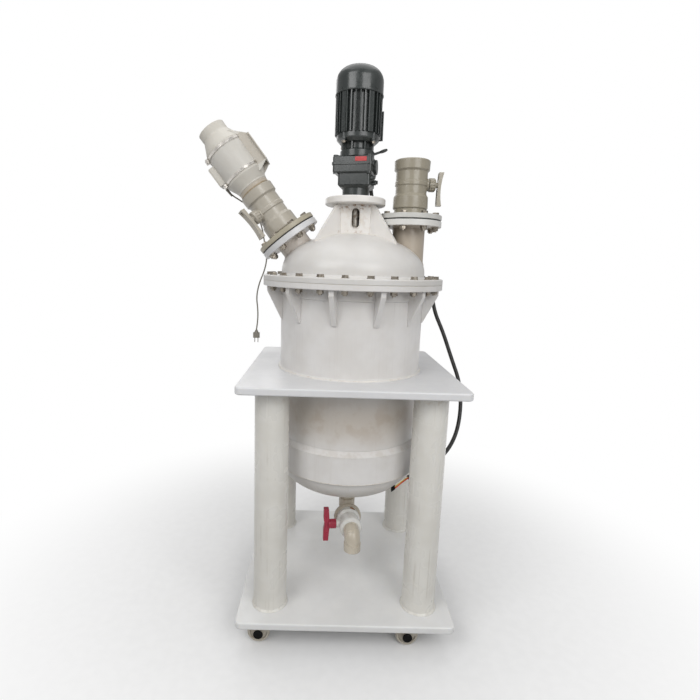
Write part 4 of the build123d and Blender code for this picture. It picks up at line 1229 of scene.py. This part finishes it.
@dataclass
class Vessel:
    """The shell, its flanges, bowl and domed lid."""

    paints: Paints
    dome_radius: float = 0.250
    dome_height: float = 0.1305
    dome_rim: float = 1.2375
    beads: tuple[tuple[str, float, float, float], ...] = (
        ("band_top_bead", 0.2545, 0.6510, 0.0052), ("band_bottom_bead", 0.2610, 0.5568, 0.0030),
        ("deck_bead", 0.2525, 0.8982, 0.0040))
    """Each ring bead's name, distance from the axis, height and own radius."""

    def on_dome(self, x: float, y: float, lift: float = 0.0) -> Vector:
        """A point on the lid's dome.

        Args:
            x: Across, from the vessel's axis.
            y: Backward, from the vessel's axis.
            lift: How far above the dome.

        Returns:
            The point.
        """
        reach = min(math.hypot(x, y) / self.dome_radius, 1.0)
        height = self.dome_rim + self.dome_height * math.sqrt(1.0 - reach * reach)
        return Vector((x + AXIS_X, y, height + lift))

    def on_dome_along(self, start: Vector, ahead: Vector, reach: float = 0.3) -> Vector:
        """Where a line first meets the dome.

        Args:
            start: The line's start, outside the dome.
            ahead: Its direction.
            reach: How far the line is followed.

        Returns:
            The meeting point.
        """
        def outside(way: float) -> bool:
            """Whether the line is still outside the dome."""
            point = start + ahead * way
            across = math.hypot(point.x - AXIS_X, point.y) / self.dome_radius
            return across * across + ((point.z - self.dome_rim) / self.dome_height) ** 2 > 1.0

        steps = 400
        for i in range(steps):
            way = reach * i / steps
            if not outside(way):
                return start + ahead * way
        return start + ahead * reach

    def ring_bead(self, name: str, radius: float, height: float, bead: float) -> None:
        """A weld bead round the shell, a little uneven as a hand-drawn bead is.

        Args:
            name: The bead's name.
            radius: Its distance from the axis.
            height: Its height.
            bead: Its own radius.
        """
        path = []
        for angle in circle(240):
            wander = 0.10 * bead * math.sin(17 * angle) + 0.06 * bead * math.sin(41 * angle + 1.0)
            reach = radius + wander
            path.append(Vector((reach * math.cos(angle) + AXIS_X, reach * math.sin(angle),
                                height + wander)))
        Form().swept(path, bead, 12, loop=True).piece(name, self.paints["weld_rod"], slot="pp_vessel")

    def build(self) -> None:
        """Dress the vessel and lay its weld beads."""
        self.paints.dress("vessel_shell", "vessel_flange", "bottom_head", "main_gasket", "lid_bolts")
        self.paints.dress_as("lid", "pp_lid")
        for bead in self.beads:
            self.ring_bead(*bead)


@dataclass
class Drive:
    """Pedestal, agitator, gearbox and motor."""

    paints: Paints
    vessel: Vessel
    column_half: float = 0.050
    wing_azimuth: float = 38.0
    wing_foot: float = 0.170
    wing_half: float = 0.006
    slot_width: float = 0.027
    slot_height: float = 0.066
    slot_middle: float = 1.417
    cowl_radius: float = 0.0795
    cowl_bottom: float = 1.8145
    foot_bead: float = 0.0030
    wing_bead: float = 0.0024
    wing_start: float = 0.058
    slot_lip: float = 0.0019
    screw_circle: float = 0.068
    screw_seat: float = 1.6632
    screw_across: float = 0.0135
    screw_height: float = 0.0062
    washer_thick: float = 0.0010
    washer_sunk: float = 0.0002
    gearbox_turn: float = -15.0
    plate_place: tuple[float, float, float] = (0.0240, -0.0538, 1.6068)
    plate_size: tuple[float, float, float] = (0.039, 0.0145, 0.0012)

    def foot_beads(self) -> None:
        """The beads where the column and its wings stand on the dome."""
        half, steps = self.column_half + 0.001, 16
        corners = [(-half, -half), (half, -half), (half, half), (-half, half)]
        path = []
        for (x0, y0), (x1, y1) in zip(corners, corners[1:] + corners[:1]):
            path += [self.vessel.on_dome(x0 + (x1 - x0) * i / steps, y0 + (y1 - y0) * i / steps, 0.0004)
                     for i in range(steps)]
        bead = Form().swept(path, self.foot_bead, 10, loop=True)
        bead.piece("column_foot_bead", self.paints["weld_rod"], slot="pp_pedestal")
        side = self.wing_azimuth
        edge, count = self.wing_half + 0.0008, 14
        start, foot = self.wing_start, self.wing_foot
        for number, azimuth in enumerate((side, 180 - side, 180 + side, -side)):
            turn = Matrix.Rotation(math.radians(azimuth), 3, "Z")
            out = [start + (foot - start) * i / count for i in range(count + 1)]
            back = [foot - (foot - start) * i / count for i in range(count + 1)]
            flat = [Vector((reach, -edge, 0)) for reach in out]
            flat += [Vector((foot + 0.0012, -edge * math.cos(math.pi * i / 6), 0)) for i in range(1, 6)]
            flat += [Vector((reach, edge, 0)) for reach in back]
            turned = [turn @ point for point in flat]
            path = [self.vessel.on_dome(point.x, point.y, 0.0003) for point in turned]
            bead = Form().swept(path, self.wing_bead, 10)
            bead.piece(f"wing_foot_bead_{number}", self.paints["weld_rod"], slot="pp_pedestal")

    def sight_rims(self) -> None:
        """The raised lip round each sight slot."""
        radius = self.slot_width / 2 + 0.0012
        straight = (self.slot_height - self.slot_width) / 2
        for name, face in (("front", -self.column_half), ("back", self.column_half)):
            path = []
            for start, middle in ((0, straight), (math.pi, -straight)):
                for i in range(19):
                    angle = start + math.pi * i / 18
                    path.append(Vector((AXIS_X + radius * math.cos(angle), face,
                                        self.slot_middle + middle + radius * math.sin(angle))))
            rim = Form().swept(path, self.slot_lip, 10, loop=True)
            rim.piece("sight_rim_" + name, self.paints["weld_rod"], slot="pp_pedestal")

    def cowl_lip(self) -> None:
        """The rolled edge at the foot of the fan cowl."""
        radius, low = self.cowl_radius, self.cowl_bottom
        outline = [(radius - 0.0008, low - 0.0004), (radius + 0.0008, low - 0.0006),
                   (radius + 0.0016, low + 0.0006), (radius + 0.0016, low + 0.0026),
                   (radius + 0.0004, low + 0.0040), (radius - 0.0008, low + 0.0042)]
        lip = Form().turned(outline, Matrix.Translation((AXIS_X, 0, 0)), 120)
        lip.piece("cowl_lip", self.paints["motor_paint"], slot="motor_paint")

    def hex_head(self, form: Form, place: Matrix, across: float, height: float) -> None:
        """A hexagon head with its washer, sitting on local Z = 0.

        Args:
            form: The form that it goes into.
            place: Where it goes.
            across: Its size across the corners.
            height: Its height.
        """
        hexagon = [(across / 2 * math.cos(math.pi * i / 3), across / 2 * math.sin(math.pi * i / 3))
                   for i in range(6)]
        sunk, thick = self.washer_sunk, self.washer_thick
        form.prism(hexagon, thick - sunk, height, place)
        washer = across * 0.62
        form.turned([(0.0, -sunk), (washer, -sunk), (washer, thick), (0.0, thick)], place, 24, closed=False)

    def shield_screws(self) -> None:
        """The plated screws that hold the motor's end shield."""
        form = Form()
        for azimuth in (45, 135, 225, 315):
            angle = math.radians(azimuth)
            x, y = self.screw_circle * math.cos(angle), self.screw_circle * math.sin(angle)
            place = frame_at((AXIS_X + x, y, self.screw_seat), (1, 0, 0), (0, 0, -1))
            self.hex_head(form, place, self.screw_across, self.screw_height)
        form.piece("shield_screws", self.paints["stainless"], bevel=0.0004, slot="stainless")

    def red_plate(self) -> None:
        """The plain red plate on the gearbox's upper band."""
        turn = Matrix.Translation((AXIS_X, 0, 0)) @ Matrix.Rotation(math.radians(self.gearbox_turn), 4, "Z")
        place = turn @ frame_at(self.plate_place, (1, 0, 0), (0, -1, 0))
        width, height, thick = self.plate_size
        red = self.paints.add(MouldedPlastic("plate_red", "#c23a3c", 0.35, "#8f2a2c", 0.3))
        plate = Form().prism(rounded_outline(width, height, 0.0012), 0.0, thick, place)
        plate.piece("gearbox_plate", red, bevel=0.0003, slot="gearbox_paint")

    def build(self) -> None:
        """Dress the drive and add its fine pieces."""
        self.paints.dress("pedestal", "shaft_seal", "agitator", "shaft_coupling", "gearbox", "motor_shield",
                          "motor_frame", "motor_cowl", "terminal_box", "motor_rotor")
        self.foot_beads()
        self.sight_rims()
        self.cowl_lip()
        self.shield_screws()
        self.red_plate()


@dataclass
class Branch:
    """A nozzle with its flanged joint and ball valve."""

    paints: Paints
    vessel: Vessel
    name: str
    origin: Vector
    ahead: Vector
    side: Vector
    # A lighter copy of the valve finish: painted light for the vent valve.
    valve_lit_copy: str = ""
    pipe_radius: float = 0.055
    seam_search: float = 0.022
    """How far below the joint the pipe's wall is followed from, down to the dome."""

    seam_bead: float = 0.0030
    seam_lift: float = 0.0008

    def seam(self) -> None:
        """The bead where the pipe is welded into the dome."""
        other = self.ahead.cross(self.side)
        path = []
        for angle in circle(72):
            wall = self.side * math.cos(angle) + other * math.sin(angle)
            start = self.origin + wall * self.pipe_radius - self.ahead * self.seam_search
            path.append(self.vessel.on_dome_along(start, -self.ahead) + wall * self.seam_lift)
        bead = Form().swept(path, self.seam_bead, 10, loop=True)
        bead.piece(self.name + "_seam", self.paints[self.name + "_nozzle"], slot="pipe_grey")

    def build(self) -> None:
        """Dress the branch, the nozzle in two colours, and weld it in."""
        self.paints.dress(*(f"{self.name}_{part}" for part in (
            "gasket", "upper_flange", "flange_bolts", "valve_body", "valve_ball", "valve_handle")))
        self.paints.dress_as(self.name + "_nozzle", self.name + "_nozzle")
        # The vent valve takes a lighter copy of its finish: painted light.
        if self.valve_lit_copy:
            self.paints.dress_as(self.name + "_valve_body", self.valve_lit_copy)
            self.paints.dress_as(self.name + "_valve_handle", self.valve_lit_copy)
        self.seam()


@dataclass
class Extractor:
    """The inline fan on the vent valve."""

    paints: Paints
    dressed: tuple[tuple[str, str], ...] = (
        ("fan_body", "fan_drum"), ("fan_bracket", "fan_bracket"), ("fan_inlet", "fan_inlet"),
        ("fan_clamps", "clamp_steel"))
    """Each solid with a finish of its own, and that finish."""

    joint_at: float = 0.1865
    joint_radius: float = 0.0552

    def sealant(self) -> None:
        """The fillet of brown sealant between the fan's spigot and the valve's socket."""
        place = frame_at(VENT_ORIGIN, VENT_SIDE, VENT_AHEAD)
        low, core = self.joint_at, self.joint_radius
        outline = [(core - 0.001, low), (core + 0.0030, low), (core + 0.0014, low + 0.0020),
                   (core + 0.0003, low + 0.0045), (core - 0.001, low + 0.0045)]
        smear = self.paints.add(MouldedPlastic("sealant", "#a09077", 0.30, "#7d684e", 0.7))
        Form().turned(outline, place, 72).piece("vent_sealant", smear, slot="fan_plastic")

    def build(self) -> None:
        """Dress the fan."""
        self.paints.dress("fan_outlet", "fan_junction_box", "fan_impeller")
        for node, finish in self.dressed:
            self.paints.dress_as(node, finish)
        self.sealant()


@dataclass
class Drain:
    """The bowl's drain line."""

    paints: Paints
    origin: tuple[float, float, float] = (0.012 + AXIS_X, 0.0, 0.315)
    turn: float = 6.0
    ring_from: float = 0.024
    ring_to: float = 0.036
    ring_radius: float = 0.050
    rim_inset: float = 0.0012
    rim_bead: float = 0.0013
    nut_radius: float = 0.043
    spill_at: float = 0.0464
    outlet_at: float = 0.150
    outlet_end: float = 0.257
    outlet_radius: float = 0.030
    outlet_bead: float = 0.0022
    spill_from: float = 54.0
    spill_turn: float = 32.0

    def flow(self) -> Matrix:
        """The frame whose local Z runs forward along the valve, with local Y up."""
        place = Matrix.Translation(Vector(self.origin)) @ Matrix.Rotation(math.radians(self.turn), 4, "Z")
        return place @ Matrix.Rotation(math.radians(90), 4, "X")

    def stain(self) -> None:
        """The dried brown spill on top of the valve's back nut."""
        place = self.flow()
        brown = self.paints.add(MouldedPlastic("dried_spill", "#94633f", 0.30, "#6a4329", 0.6))
        form = Form()
        radius = self.nut_radius + 0.0004
        steps, rows = 12, 4
        grid = []
        for i in range(steps + 1):
            angle = math.radians(self.spill_from + self.spill_turn * i / steps)
            edge = math.sin(math.pi * i / steps) ** 0.6
            drift = 0.0008 * math.sin(2.2 * math.pi * i / steps)
            low = self.spill_at + drift - 0.0068 * edge
            high = self.spill_at + drift + 0.0004 + 0.0062 * edge
            grid.append([form.mesh.verts.new(place @ Vector((
                radius * math.cos(angle), radius * math.sin(angle), low + (high - low) * k / rows)))
                for k in range(rows + 1)])
        for i in range(steps):
            for k in range(rows):
                form.mesh.faces.new((grid[i][k], grid[i + 1][k], grid[i + 1][k + 1], grid[i][k + 1]))
        form.piece("drain_nut_spill", brown, slot="valve_white")

    def beads(self) -> None:
        """The rounded rims of the union ring and of the outlet's socket."""
        place = self.flow()
        rims = (("drain_ring_rim_back", self.ring_from + self.rim_inset),
                ("drain_ring_rim_front", self.ring_to - self.rim_inset))
        radius = self.ring_radius * 0.996
        for name, at in rims:
            path = [place @ Vector((radius * math.cos(a), radius * math.sin(a), at)) for a in circle(96)]
            rim = Form().swept(path, self.rim_bead, 8, loop=True)
            rim.piece(name, self.paints["elbow_beige"], slot="elbow_beige")
        middle = place @ Vector((0.0, 0.0, self.outlet_at))
        radius = self.outlet_radius - 0.0024
        path = [Vector((middle.x + radius * math.cos(a), middle.y + radius * math.sin(a),
                        self.outlet_end + 0.0003)) for a in circle(72)]
        rim = Form().swept(path, self.outlet_bead, 10, loop=True)
        rim.piece("drain_outlet_rim", self.paints["elbow_beige"], slot="elbow_beige")

    def build(self) -> None:
        """Dress the drain."""
        self.paints.dress("drain_elbow", "drain_valve_body", "drain_valve_ball", "drain_valve_handle",
                          "drain_outlet")
        self.stain()
        self.beads()


def main() -> None:
    """Build every sub-assembly in order."""
    logging.basicConfig(level=logging.INFO, format="%(name)s: %(message)s")
    Studio().build()
    log.info("studio ready")
    paints = Paints(FINISHES)
    log.info("%d finishes made", len(paints.made))
    vessel = Vessel(paints)
    feed = Branch(paints, vessel, "feed", FEED_ORIGIN, UP, RIGHT)
    vent = Branch(paints, vessel, "vent", VENT_ORIGIN, VENT_AHEAD, VENT_SIDE, "vent_valve")
    for made in (Leads(paints), Stand(paints), vessel, Drive(paints, vessel), feed, vent,
                 Extractor(paints), Drain(paints)):
        made.build()
        log.info("%s built", type(made).__name__)


if __name__ == "__main__":
    main()
